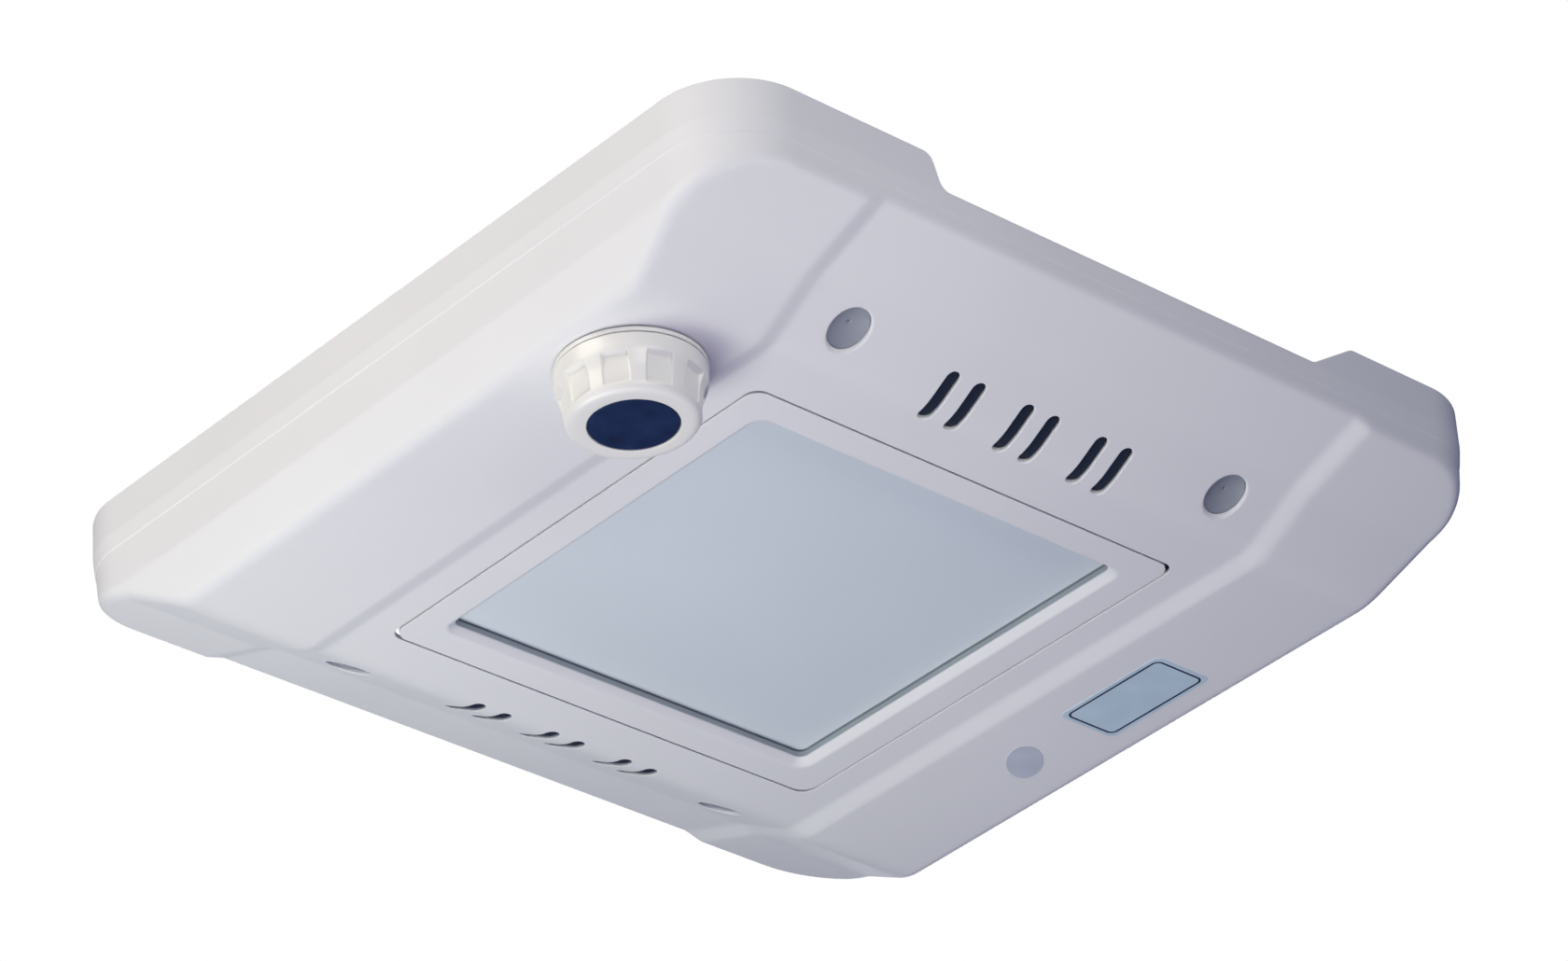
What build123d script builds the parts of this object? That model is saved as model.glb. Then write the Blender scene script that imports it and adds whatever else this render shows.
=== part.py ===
from build123d import *
import math
import os

os.makedirs("parts", exist_ok=True)

# LED canopy light, a square white luminaire that is bolted up under a ceiling or canopy.
# The origin is the centre of the ceiling face, +Z is up and everything hangs below it.
# X runs across the side panels, and the light sensor is on the -X panel.
# Y runs from vented end to vented end, and the lens door is hinged along its +Y side.
# Heights named "up" are measured upwards from the flat face round the lens door.

# Housing, outer form
housing_side = 520.0
housing_height = 79.5
housing_corner = 44.0
housing_wall = 2.5
rim_clearance = 0.5
panel_half = 246.6
panel_drop = 3.5
panel_edge_radius = 8.0
recess_half = 158.5
step_width = 10.5

# Housing, bands of the side wall: depth under the ceiling and inset from the rim
rim_band_depth = 22.0
band_lip_height = 0.9
band_lip_inset = 0.6
band_depth = 31.0
band_inset = 1.7
ledge_size = 1.0
crease_depth = 53.0
crease_inset = 4.4

# Housing, the two ends that rise towards the ceiling
bend_y = 174.0
bend_radius = 30.0
knee_y = 212.0
knee_rise = 21.0
knee_radius = 12.0
end_y = 256.6
end_rise = 36.5
end_radius = 5.0

# Housing, rim notches in both ends
notch_depth = 19.3
notch_short_side = 125.5
notch_long_side = 143.5
notch_short_slope = 4.5
notch_long_slope = 14.5
notch_radius = 7.0

# Vent slots, three pairs at each end
slot_length = 28.0
slot_width = 7.4
slot_y = 181.5
slot_pair_spacing = 17.2
slot_pitch = 49.5
screen_thickness = 0.6
screen_margin = 8.0

# Housing screws in their round recesses
recess_x = 126.3
recess_y = 193.0
recess_radius = 11.0
recess_depth = 3.2
screw_seat_up = 26.0
seat_floor = 3.0
cup_wall = 2.5
screw_radius = 2.4
screw_clearance = 0.35
screw_head_radius = 4.8
screw_head_height = 2.8
screw_grip = 15.0
plug_gap = 0.15
plug_dish = 0.8
pick_hole_radius = 0.8

# Lens door
door_half = 140.0
door_corner = 9.0
door_gap = 1.2
door_skin = 2.5
window_face_half = 122.6
window_half = 118.5
window_corner = 5.0
bevel_depth = 3.6
ledge_up = 4.3
pocket_half = 124.0
pocket_corner = 4.0
door_rim = 4.0
door_rim_up = 13.3
lens_thickness = 3.0
lens_edge_gap = 1.0
seat_gasket = 4.0
clip_width = 14.0
clip_thickness = 1.0
clip_reach = 6.0
clip_bite = 1.5
clip_offset = 70.0

# Door hinges: gooseneck arms that swing round the edge of the opening
hinge_y = 170.0
hinge_up = 9.0
hinge_x = 95.0
arm_thickness = 8.0
arm_inner_radius = 32.5
arm_width = 7.0
arm_leg_half = 3.8
eye_radius = 5.5
pin_radius = 2.5
pin_clearance = 0.05
pad_up = 7.0
pad_half_x = 15.0
pad_depth = 9.8
foot_thickness = 2.5
small_screw_radius = 1.5
small_head_radius = 2.8
small_head_height = 1.8
cheek_thickness = 3.0
cheek_gap = 0.5
bracket_foot_up = 6.5
bracket_foot_thickness = 2.0
bracket_foot_reach = 15.0
bracket_screw_y = 158.0
bracket_back_y = 177.5

# Door magnets on the side away from the hinges
catch_x = 60.0
strike_up = 9.0
strike_thickness = 1.5
catch_gap = 0.4
catch_half_x = 13.0
catch_depth = 8.5
catch_height = 15.0
magnet_radius = 3.5
magnet_height = 6.0

# Light engine
board_up = 24.0
board_half = 116.0
board_thickness = 1.6
led_count = 10
led_pitch = 21.0
led_half = 2.7
led_height = 1.3
pad_thickness = 0.5
sink_half = 129.5
sink_corner = 8.0
sink_base = 5.0
skirt_wall = 5.0
door_seal_height = 2.0
door_seal_gap = 0.3
fin_height = 18.0
fin_thickness = 2.0
fin_count = 22
fin_half_length = 100.0
ear_x = 150.0
ear_y = 70.0
ear_half_y = 9.0
pillar_radius = 5.0
reflector_foot_up = 14.0
reflector_wall = 0.8

# Light and motion sensor with its twist-lock cap
sensor_x = -204.0
sensor_y = -122.5
sensor_seal = 0.8
sensor_seal_radius = 35.0
collar_radius = 37.5
collar_thickness = 2.2
socket_radius = 17.0
socket_clearance = 0.5
socket_up = 20.0
nut_radius = 24.0
nut_height = 6.0
cap_gap = 0.4
cap_height = 29.1
cap_radius = 37.2
cap_waist_radius = 34.2
cap_face_radius = 32.4
cap_flare_height = 9.0
cap_waist_height = 14.5
cap_edge_radius = 6.0
cap_wall = 2.4
grip_count = 10
grip_width = 13.0
grip_depth = 1.3
grip_start = 9.6
grip_end = 24.6
window_radius = 22.1
window_sink = 0.5
window_flange = 2.5
window_thickness = 1.5
sensor_board_radius = 31.5
sensor_board_drop = 8.0
back_plate_thickness = 2.0
element_radius = 9.0
element_height = 7.0
blade_radius = 11.0
blade_thickness = 1.4
blade_half_angle = 15.0
blade_top = 4.0
blade_count = 3
twist_angle = 35.0
twist_margin = 5.0
blade_clearance = 0.6

# Power parts on the +X side
driver_x = 207.0
driver_y = -25.0
driver_width = 54.0
driver_length = 186.0
driver_height = 36.0
driver_up = 4.0
driver_corner = 5.0
driver_ear = 12.0
driver_ear_thickness = 2.5
terminal_y = 118.0
terminal_width = 40.0
terminal_length = 26.0
terminal_height = 20.0
terminal_ways = 3
surge_x = -206.0
surge_y = 60.0
surge_width = 42.0
surge_length = 68.0
surge_height = 28.0
boss_radius = 4.5

# Mounting plate on the ceiling
plate_half = 214.0
plate_corner = 30.0
plate_thickness = 1.5
plate_lip = 10.0
bolt_spacing = 300.0
bolt_hole_radius = 4.5
entry_hole_radius = 16.0
grommet_flange = 5.0
grommet_flange_thickness = 3.0
grommet_length = 16.0
cable_radius = 5.0
standoff_radius = 6.0
standoff_clearance = 0.03

# Wires inside the housing
wire_radius = 2.5
wire_height = 61.0

# Labels on the +X panel
label_x = 209.3
label_y = -40.0
label_width = 38.5
label_length = 73.5
label_corner = 4.0
label_thickness = 0.3
sticker_x = 208.5
sticker_y = 42.9
sticker_long_radius = 17.0
sticker_short_radius = 9.8
sticker_turn = 46.0

face_z = -(housing_height - panel_drop)
panel_z = -housing_height
bend_slope = knee_rise / (knee_y - bend_y)
end_slope = (end_rise - knee_rise) / (end_y - knee_y)


def up(height):
    """Height above the ceiling plane of a level given upwards from the door face."""
    return face_z + height


def save(name, shape):
    """Write one named piece, or one group of like pieces, to its STEP file."""
    if isinstance(shape, (list, tuple)):
        shape = Compound(children=list(shape))
    shape.label = name
    export_step(shape, f"parts/{name}.step")
    return shape


def block(x0, x1, y0, y1, z0, z1):
    """Box between two corners."""
    centre = Pos((x0 + x1) / 2, (y0 + y1) / 2, (z0 + z1) / 2)
    return centre * Box(abs(x1 - x0), abs(y1 - y0), abs(z1 - z0))


def rod(radius, x, y, z0, z1):
    """Upright cylinder between two heights."""
    return Pos(x, y, (z0 + z1) / 2) * Cylinder(radius, abs(z1 - z0))


def cross_rod(radius, x0, x1, y, z):
    """Cylinder along X."""
    return Pos((x0 + x1) / 2, y, z) * Rot(0, 90, 0) * Cylinder(radius, abs(x1 - x0))


def square_prism(half, corner, z0, z1):
    """Upright prism on a square with rounded corners."""
    return Pos(0, 0, z0) * extrude(RectangleRounded(2 * half, 2 * half, corner), amount=z1 - z0)


def square_taper(half0, corner0, z0, half1, corner1, z1):
    """Straight taper between two rounded squares."""
    low = Pos(0, 0, z0) * RectangleRounded(2 * half0, 2 * half0, corner0)
    high = Pos(0, 0, z1) * RectangleRounded(2 * half1, 2 * half1, corner1)
    return loft([low, high], ruled=True)


def four(x, y):
    """The four mirrored places of a corner pattern."""
    return [(sx * x, sy * y) for sx in (-1, 1) for sy in (-1, 1)]


def end_shift(y):
    """Rise of the housing face at distance y from the middle, without its bend radii."""
    beyond_bend = max(0.0, min(abs(y), knee_y) - bend_y)
    beyond_knee = max(0.0, abs(y) - knee_y)
    return bend_slope * beyond_bend + end_slope * beyond_knee


def end_face(x, drop, raised, above):
    """Face in a YZ plane, on one side of the housing's long profile.

    The profile is flat in the middle, bends up at both ends and turns into the end wall.
    """
    wall_y = end_y - raised
    wall_up = end_rise + raised
    far_y = housing_side / 2 + 30
    half = [
        (far_y, wall_up + 8),
        (wall_y + 0.2, wall_up + 4.5),
        (wall_y, wall_up),
        (knee_y, knee_rise + raised),
        (bend_y, raised),
    ]
    points = [(-y, z) for y, z in half] + [(y, z) for y, z in reversed(half)]
    level = face_z - drop
    points = [Vector(x, y, level + z) for y, z in points]
    radii = [0, end_radius, knee_radius, bend_radius]
    curve = FilletPolyline(*points, radius=radii + radii[::-1])
    closing_z = 150.0 if above else face_z - 60.0
    first, last = points[0], points[-1]
    closing = Polyline(last, Vector(x, last.Y, closing_z), Vector(x, first.Y, closing_z), first)
    return make_face(curve.edges() + closing.edges())


def wall_bands(inset):
    """Stack of rounded squares that gives the side wall its bands and its drafts."""
    ledge_depth = band_depth + ledge_size
    ledge_inset = band_inset + ledge_size
    panel_inset = housing_side / 2 - panel_half
    foot_depth = housing_height + 6.0
    foot_slope = (panel_inset - crease_inset) / (housing_height - crease_depth)
    foot_inset = panel_inset + 6.0 * foot_slope
    levels = [
        (rim_clearance, 0.0),
        (rim_band_depth, 0.0),
        (rim_band_depth + band_lip_height, band_lip_inset),
        (band_depth, band_inset),
        (ledge_depth, ledge_inset),
        (crease_depth, crease_inset),
        (foot_depth, foot_inset),
    ]
    body = None
    for (depth0, inset0), (depth1, inset1) in zip(levels, levels[1:]):
        in0 = inset0 + inset
        in1 = inset1 + inset
        half = housing_side / 2
        band = square_taper(
            half - in0, housing_corner - in0, -depth0, half - in1, housing_corner - in1, -depth1
        )
        body = band if body is None else body + band
    return body


def panel_sections(inset):
    """Places across the housing where its long profile is lofted, with their drops.

    Past the flat panel the sections climb round the panel edge radius.
    """
    steps = 6
    turn = 75.0
    radius = panel_edge_radius - inset
    start = panel_half - 0.7 * panel_edge_radius
    sections = [(0.0, panel_drop), (start, panel_drop)]
    for k in range(1, steps + 1):
        angle = math.radians(turn * k / steps)
        x = start + radius * math.sin(angle)
        sections.append((x, panel_drop - radius * (1 - math.cos(angle))))
    x, drop = sections[-1]
    reach = housing_side / 2 + 20 - x
    sections.append((x + reach, drop - reach * math.tan(math.radians(turn))))
    return [(-x, d) for x, d in sections[:0:-1]] + sections[1:]


def recess_sections():
    """Places across the housing where the sunk middle band starts and ends."""
    edge = recess_half + step_width
    return [(-edge, panel_drop), (-recess_half, 0.0), (recess_half, 0.0), (edge, panel_drop)]


def housing_form(inset):
    """Solid form of the housing, drawn in by inset on every side but the open top."""
    faces = [end_face(x, drop, inset, True) for x, drop in panel_sections(inset)]
    body = wall_bands(inset) & loft(faces, ruled=True)
    sunk = [end_face(x, drop, inset, False) for x, drop in recess_sections()]
    return body - loft(sunk, ruled=True)


def slot_places():
    """Centres of the vent slots of both ends."""
    places = []
    for side in (-1, 1):
        for pair in (-1, 0, 1):
            for half in (-0.5, 0.5):
                places.append((pair * slot_pitch + half * slot_pair_spacing, side * slot_y))
    return places


def slot_prism(x, y, grow, z0, z1):
    """Upright prism on a slot that runs along Y."""
    shape = Rot(0, 0, 90) * SlotOverall(slot_length + 2 * grow, slot_width + 2 * grow)
    return Pos(x, y, z0) * extrude(shape, amount=z1 - z0)


def notch_prism(side):
    """Cutter for the shallow notch in the rim of one end."""
    low = -notch_depth
    x_steep = notch_short_side * side
    x_ramp = -notch_long_side * side
    points = [
        (x_steep + 2 * notch_short_slope * side, 20.0),
        (x_steep + notch_short_slope * side, -rim_clearance),
        (x_steep - notch_short_slope * side, low),
        (x_ramp + notch_long_slope * side, low),
        (x_ramp - notch_long_slope * side, -rim_clearance),
        (x_ramp - 2 * notch_long_slope * side, 20.0),
    ]
    points = [Vector(x, side * (housing_side / 2 - 20), z) for x, z in points]
    curve = FilletPolyline(*points, radius=[notch_radius] * 4)
    outline = make_face(curve.edges() + [Edge.make_line(points[-1], points[0])])
    return extrude(outline, amount=30, dir=(0, side, 0))


outer = housing_form(0.0)
inner = housing_form(housing_wall)

# Housing shell with its bosses, screw cups and openings
seat_top = up(screw_seat_up + seat_floor)
cups = []
recesses = []
for x, y in four(recess_x, recess_y):
    cup_radius = recess_radius + cup_wall
    cups.append(rod(cup_radius, x, y, panel_z - 5, seat_top) & outer)
    recesses.append(rod(recess_radius, x, y, panel_z - 5, up(screw_seat_up)))
    recesses.append(rod(screw_radius + screw_clearance, x, y, face_z, seat_top + 1))

inner_face_up = housing_wall
sink_bottom = up(board_up + board_thickness + pad_thickness)
bosses = [rod(pillar_radius, x, y, up(1.0), sink_bottom) for x, y in four(ear_x, ear_y)]
bracket_screw_offset = arm_thickness / 2 + cheek_gap + cheek_thickness + bracket_foot_reach / 2
for sx in (-1, 1):
    for offset in (-bracket_screw_offset, bracket_screw_offset):
        x = sx * hinge_x + offset
        bosses.append(rod(boss_radius, x, bracket_screw_y, up(1.0), up(bracket_foot_up)))

panel_inside = -panel_drop + housing_wall
driver_ends = [driver_y + s * (driver_length + driver_ear) / 2 for s in (-1, 1)]
for y in driver_ends:
    bosses.append(rod(boss_radius, driver_x, y, up(panel_inside - 1), up(driver_up)))
terminal_screws_x = [driver_x + s * (terminal_width / 2 + driver_ear / 2) for s in (-1, 1)]
for x in terminal_screws_x:
    bosses.append(rod(boss_radius, x, terminal_y, up(panel_inside - 1), up(driver_up)))
surge_ends = [surge_y + s * (surge_length + driver_ear) / 2 for s in (-1, 1)]
for y in surge_ends:
    bosses.append(rod(boss_radius, surge_x, y, up(panel_inside - 1), up(driver_up)))

shell = outer - inner
for piece in cups + bosses:
    shell = shell + piece
opening_half = door_half + door_gap
shell = shell - square_prism(opening_half, door_corner - door_gap, face_z - 5, up(housing_wall + 2))
shell = shell - rod(socket_radius + socket_clearance, sensor_x, sensor_y, panel_z - 5, up(10))
for piece in recesses:
    shell = shell - piece
for x, y in slot_places():
    shell = shell - slot_prism(x, y, 0.0, face_z - 5, up(30))
for side in (-1, 1):
    shell = shell - notch_prism(side)
pilot_radius = small_screw_radius
pilots = [(x, y, sink_bottom) for x, y in four(ear_x, ear_y)]
for sx in (-1, 1):
    for offset in (-bracket_screw_offset, bracket_screw_offset):
        pilots.append((sx * hinge_x + offset, bracket_screw_y, up(bracket_foot_up)))
pilots += [(driver_x, y, up(driver_up)) for y in driver_ends]
pilots += [(x, terminal_y, up(driver_up)) for x in terminal_screws_x]
pilots += [(surge_x, y, up(driver_up)) for y in surge_ends]
pilot_depth = 4.0
for x, y, z in pilots:
    shell = shell - rod(pilot_radius, x, y, z - pilot_depth, z + 1)
save("housing_shell", shell)

# Vent screens, bent sheets that lie on the inside of the vented ends
lift = housing_wall
screen_half_x = slot_pitch + slot_pair_spacing / 2 + screen_margin
screen_half_y = slot_length / 2 + 2.0
sheet = inner - housing_form(housing_wall + screen_thickness)
screens = []
for side in (-1, 1):
    y0 = side * slot_y - screen_half_y
    y1 = side * slot_y + screen_half_y
    screens.append(sheet & block(-screen_half_x, screen_half_x, y0, y1, face_z, up(25)))
save("vent_screens", screens)


def screw(x, y, seat_z, head_radius, head_height, radius, length, down):
    """Pan-head screw: its head bears on seat_z and its shank goes the other way."""
    sign = 1 if down else -1
    head = rod(head_radius, x, y, seat_z, seat_z + sign * head_height)
    shank = rod(radius, x, y, seat_z, seat_z - sign * length)
    socket = rod(radius * 0.6, x, y, seat_z + sign * head_height * 0.4, seat_z + sign * head_height)
    return head + shank - socket


# Housing screws, their standoffs and the plugs that close the recesses
screw_length = seat_floor + screw_grip
housing_screws = []
standoffs = []
plugs = []
plug_top = up(screw_seat_up) - screw_head_height - 0.4
for x, y in four(recess_x, recess_y):
    housing_screws.append(
        screw(x, y, up(screw_seat_up), screw_head_radius, screw_head_height, screw_radius,
              screw_length, False)
    )
    post = rod(standoff_radius, x, y, seat_top, -plate_thickness)
    bore = rod(screw_radius + standoff_clearance, x, y, seat_top - 1, seat_top + screw_grip + 3)
    standoffs.append(post - bore)
    plug = rod(recess_radius - plug_gap, x, y, face_z, plug_top)
    side = 1 if y > 0 else -1
    tilt = math.degrees(math.atan(bend_slope))
    face_up = end_shift(recess_y) + recess_depth
    face_cut = Pos(x, y, up(face_up) - 20) * Rot(side * tilt, 0, 0) * Box(60, 60, 40)
    dish_radius = (recess_radius ** 2 + plug_dish ** 2) / (2 * plug_dish)
    dish = Pos(x, y, up(face_up)) * Rot(side * tilt, 0, 0) * Pos(0, 0, plug_dish - dish_radius)
    plug = plug - face_cut - dish * Sphere(dish_radius)
    plugs.append(plug - rod(pick_hole_radius, x, y, face_z, plug_top - 1.0))
save("housing_screws", housing_screws)
save("plate_standoffs", standoffs)
save("screw_plugs", plugs)

# Mounting plate with turned-down lips, four bolt holes and the cable entry
plate = square_prism(plate_half, plate_corner, -plate_thickness, 0.0)
lip_outer = square_prism(plate_half, plate_corner, -plate_lip, -plate_thickness)
lip_inner = square_prism(
    plate_half - plate_thickness, plate_corner - plate_thickness, -plate_lip - 1, 0.0
)
plate = plate + (lip_outer - lip_inner)
for x, y in four(bolt_spacing / 2, bolt_spacing / 2):
    plate = plate - rod(bolt_hole_radius, x, y, -plate_lip, 1)
plate = plate - rod(entry_hole_radius, 0, 0, -plate_lip, 1)
save("mounting_plate", plate)

grommet = rod(entry_hole_radius, 0, 0, -plate_thickness, -0.2)
flange_bottom = -plate_thickness - grommet_flange_thickness
grommet = grommet + rod(entry_hole_radius + grommet_flange, 0, 0, flange_bottom, -plate_thickness)
sleeve = Pos(0, 0, (flange_bottom - grommet_length) / 2) * Rot(180, 0, 0)
sleeve_height = grommet_length + flange_bottom
grommet = grommet + sleeve * Cone(entry_hole_radius - 1, cable_radius + 2.5, sleeve_height)
grommet = grommet - rod(cable_radius, 0, 0, -grommet_length - 1, 1)
save("entry_grommet", grommet)

# Lens door frame
frame = square_prism(door_half, door_corner, face_z, up(door_skin))
rim_half = pocket_half + door_rim
frame = frame + square_prism(rim_half, pocket_corner + door_rim, face_z, up(door_rim_up))
for sx in (-1, 1):
    x = sx * hinge_x
    frame = frame + block(
        x - pad_half_x, x + pad_half_x, rim_half - 1, rim_half + pad_depth, face_z, up(pad_up)
    )
    x = sx * catch_x
    frame = frame + block(
        x - catch_half_x, x + catch_half_x, -rim_half - pad_depth, -rim_half + 1, face_z,
        up(strike_up),
    )
frame = frame - square_prism(pocket_half, pocket_corner, up(ledge_up), up(door_rim_up + 1))
frame = frame - square_prism(window_half, window_corner, face_z - 1, up(ledge_up + 1))
bevel_grow = window_face_half - window_half
frame = frame - square_taper(
    window_face_half, window_corner + bevel_grow, face_z, window_half, window_corner,
    up(bevel_depth),
)
glass_low = ledge_up + seat_gasket
glass_high = glass_low + lens_thickness
clip_places = []
for a in (-clip_offset, clip_offset):
    clip_places += [(a, -1, 0), (a, 1, 0), (a, -1, 90), (a, 1, 90)]


def clip_block(along, side, turn, reach, bite, slack):
    """Box of one lens clip on a side of the pocket, or of its seat in the rim."""
    low = up(glass_high) - slack
    high = up(glass_high + clip_thickness) + slack
    near = pocket_half - reach
    far = pocket_half + bite
    half = clip_width / 2 + slack
    tab = block(near, far, along - half, along + half, low, high)
    return Rot(0, 0, turn + (180 if side < 0 else 0)) * tab


for along, side, turn in clip_places:
    frame = frame - clip_block(along, side, turn, 0.5, clip_bite + 0.1, 0.1)
screw_drop = pad_up - 3.5
for sx in (-1, 1):
    for offset in (-1, 1):
        x = sx * hinge_x + offset * (pad_half_x - 4.5)
        frame = frame - rod(small_screw_radius, x, rim_half + pad_depth / 2, up(3.5), up(pad_up + 1))
save("lens_door_frame", frame)

# Frosted lens, its gasket and the clips that hold it
lens_half = pocket_half - lens_edge_gap
lens = square_prism(lens_half, pocket_corner - 1, up(glass_low), up(glass_high))
save("frosted_lens", lens)
gasket = square_prism(pocket_half, pocket_corner, up(ledge_up), up(glass_high))
gasket = gasket - square_prism(lens_half, pocket_corner - 1, up(glass_low), up(glass_high + 1))
gasket = gasket - square_prism(window_half + 0.6, window_corner, up(0), up(glass_high))
save("lens_gasket", gasket)
clips = []
for along, side, turn in clip_places:
    tab = clip_block(along, side, turn, clip_reach, clip_bite, 0.0)
    clips.append(tab)
save("lens_clips", clips)

# Gooseneck hinge arms with their feet, pins, brackets and screws
arm_outer_radius = arm_inner_radius + arm_width
foot_low = up(pad_up)
foot_high = up(pad_up + foot_thickness)
foot_y0 = rim_half
foot_y1 = rim_half + pad_depth - 0.6
arms = []
arm_screws = []
pins = []
brackets = []
bracket_screws = []
for sx in (-1, 1):
    x = sx * hinge_x
    x0 = x - arm_thickness / 2
    x1 = x + arm_thickness / 2
    ring = cross_rod(arm_outer_radius, x0, x1, hinge_y, up(hinge_up))
    ring = ring - cross_rod(arm_inner_radius, x0 - 1, x1 + 1, hinge_y, up(hinge_up))
    quarter = block(
        x0, x1, hinge_y - arm_outer_radius - 1, hinge_y, foot_low, up(hinge_up + 60)
    )
    arm = ring & quarter
    arm = arm + block(
        x0, x1, hinge_y - arm_leg_half, hinge_y + arm_leg_half, up(hinge_up),
        up(hinge_up + arm_outer_radius),
    )
    arm = arm + cross_rod(eye_radius, x0, x1, hinge_y, up(hinge_up))
    arm = arm + block(
        x - pad_half_x, x + pad_half_x, foot_y0 + 0.3, foot_y1, foot_low, foot_high
    )
    arm = arm - cross_rod(pin_radius + pin_clearance, x0 - 1, x1 + 1, hinge_y, up(hinge_up))
    for offset in (-1, 1):
        screw_x = x + offset * (pad_half_x - 4.5)
        screw_y = rim_half + pad_depth / 2
        arm = arm - rod(small_screw_radius + 0.2, screw_x, screw_y, foot_low - 1, foot_high + 1)
        arm_screws.append(
            screw(screw_x, screw_y, foot_high, small_head_radius, small_head_height,
                  small_screw_radius, foot_thickness + pad_up - 3.5, True)
        )
    arms.append(arm)

    cheek_outer = arm_thickness / 2 + cheek_gap + cheek_thickness
    pin_reach = cheek_outer + 1.0
    pin = cross_rod(pin_radius, x - pin_reach, x + pin_reach, hinge_y, up(hinge_up))
    for offset in (-1, 1):
        head_x = x + offset * (cheek_outer + 0.1)
        pin = pin + cross_rod(pin_radius + 1.2, head_x, head_x + offset * 1.0, hinge_y, up(hinge_up))
    pins.append(pin)

    bracket = None
    foot_top = up(bracket_foot_up + bracket_foot_thickness)
    for offset in (-1, 1):
        cheek_x0 = x + offset * (arm_thickness / 2 + cheek_gap)
        cheek_x1 = x + offset * cheek_outer
        cheek = block(cheek_x0, cheek_x1, bracket_screw_y - 5, bracket_back_y, up(bracket_foot_up),
                      up(hinge_up + eye_radius))
        foot_x1 = x + offset * (cheek_outer + bracket_foot_reach)
        foot = block(cheek_x1, foot_x1, bracket_screw_y - 5, bracket_screw_y + 5,
                     up(bracket_foot_up), foot_top)
        screw_x = x + offset * bracket_screw_offset
        foot = foot - rod(small_screw_radius + 0.2, screw_x, bracket_screw_y,
                          up(bracket_foot_up) - 1, foot_top + 1)
        part = cheek + foot
        bracket = part if bracket is None else bracket + part
        bracket_screws.append(
            screw(screw_x, bracket_screw_y, foot_top, small_head_radius, small_head_height,
                  small_screw_radius, bracket_foot_thickness + pilot_depth - 0.5, True)
        )
    bracket = bracket + block(
        x - cheek_outer, x + cheek_outer, bracket_back_y, bracket_back_y + 2,
        up(hinge_up + 1), up(hinge_up + eye_radius),
    )
    bracket = bracket - cross_rod(
        pin_radius + standoff_clearance, x - cheek_outer - 1, x + cheek_outer + 1, hinge_y,
        up(hinge_up),
    )
    brackets.append(bracket)
save("hinge_arms", arms)
save("hinge_arm_screws", arm_screws)
save("hinge_pins", pins)
save("hinge_brackets", brackets)
save("hinge_bracket_screws", bracket_screws)

# Heat sink: base, skirt round the lens, fins on its back and four ears on the housing pillars
sink_top = sink_bottom + sink_base
seal_low = up(door_rim_up + door_seal_gap)
skirt_low = seal_low + door_seal_height
skirt_inner = sink_half - skirt_wall
sink = square_prism(sink_half, sink_corner, skirt_low, sink_top)
sink = sink - square_prism(skirt_inner, sink_corner - 4, skirt_low - 1, sink_bottom)
for x, y in four(ear_x, ear_y):
    inside = sink_half - 1 if x > 0 else -sink_half + 1
    tip = ear_x + pillar_radius + 1 if x > 0 else -ear_x - pillar_radius - 1
    ear = block(inside, tip, y - ear_half_y, y + ear_half_y, sink_bottom, sink_top)
    sink = sink + ear - rod(small_screw_radius + 0.3, x, y, sink_bottom - 1, sink_top + 1)
fin_spread = sink_half - 8.0
for k in range(fin_count):
    x = -fin_spread + 2 * fin_spread * k / (fin_count - 1)
    sink = sink + block(
        x - fin_thickness / 2, x + fin_thickness / 2, -fin_half_length, fin_half_length,
        sink_top - 0.5, sink_top + fin_height,
    )
lead_hole_x = 60.0
lead_hole_y = 109.0
sink = sink - rod(wire_radius + 1.5, lead_hole_x, lead_hole_y, sink_bottom - 1, sink_top + 1)
save("heat_sink", sink)
sink_screws = [
    screw(x, y, sink_top, small_head_radius, small_head_height, small_screw_radius,
          sink_base + pilot_depth - 0.5, True)
    for x, y in four(ear_x, ear_y)
]
save("heat_sink_screws", sink_screws)

seal = square_prism(sink_half - 0.8, sink_corner - 0.8, seal_low, skirt_low)
seal = seal - square_prism(skirt_inner + 0.2, sink_corner - 4, seal_low - 1, skirt_low + 1)
save("door_seal", seal)

# LED board with its thermal pad, LEDs and reflector
board = square_prism(board_half, 3.0, up(board_up), up(board_up + board_thickness))
board = board - rod(wire_radius + 0.5, lead_hole_x, lead_hole_y, face_z, 0)
save("led_board", board)
pad = square_prism(board_half, 3.0, up(board_up + board_thickness), sink_bottom)
pad = pad - rod(wire_radius + 1.5, lead_hole_x, lead_hole_y, face_z, 0)
save("thermal_pad", pad)
leds = []
for i in range(led_count):
    for j in range(led_count):
        x = (i - (led_count - 1) / 2) * led_pitch
        y = (j - (led_count - 1) / 2) * led_pitch
        leds.append(block(x - led_half, x + led_half, y - led_half, y + led_half,
                          up(board_up - led_height), up(board_up)))
save("leds", leds)
reflector_foot = skirt_inner - 1.0
reflector_head = board_half - 2.0
reflector = square_taper(
    reflector_foot, 4.0, up(reflector_foot_up), reflector_head, 4.0, up(board_up)
)
reflector = reflector - square_taper(
    reflector_foot - reflector_wall, 3.5, up(reflector_foot_up),
    reflector_head - reflector_wall, 3.5, up(board_up),
)
save("reflector_frame", reflector)

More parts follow.
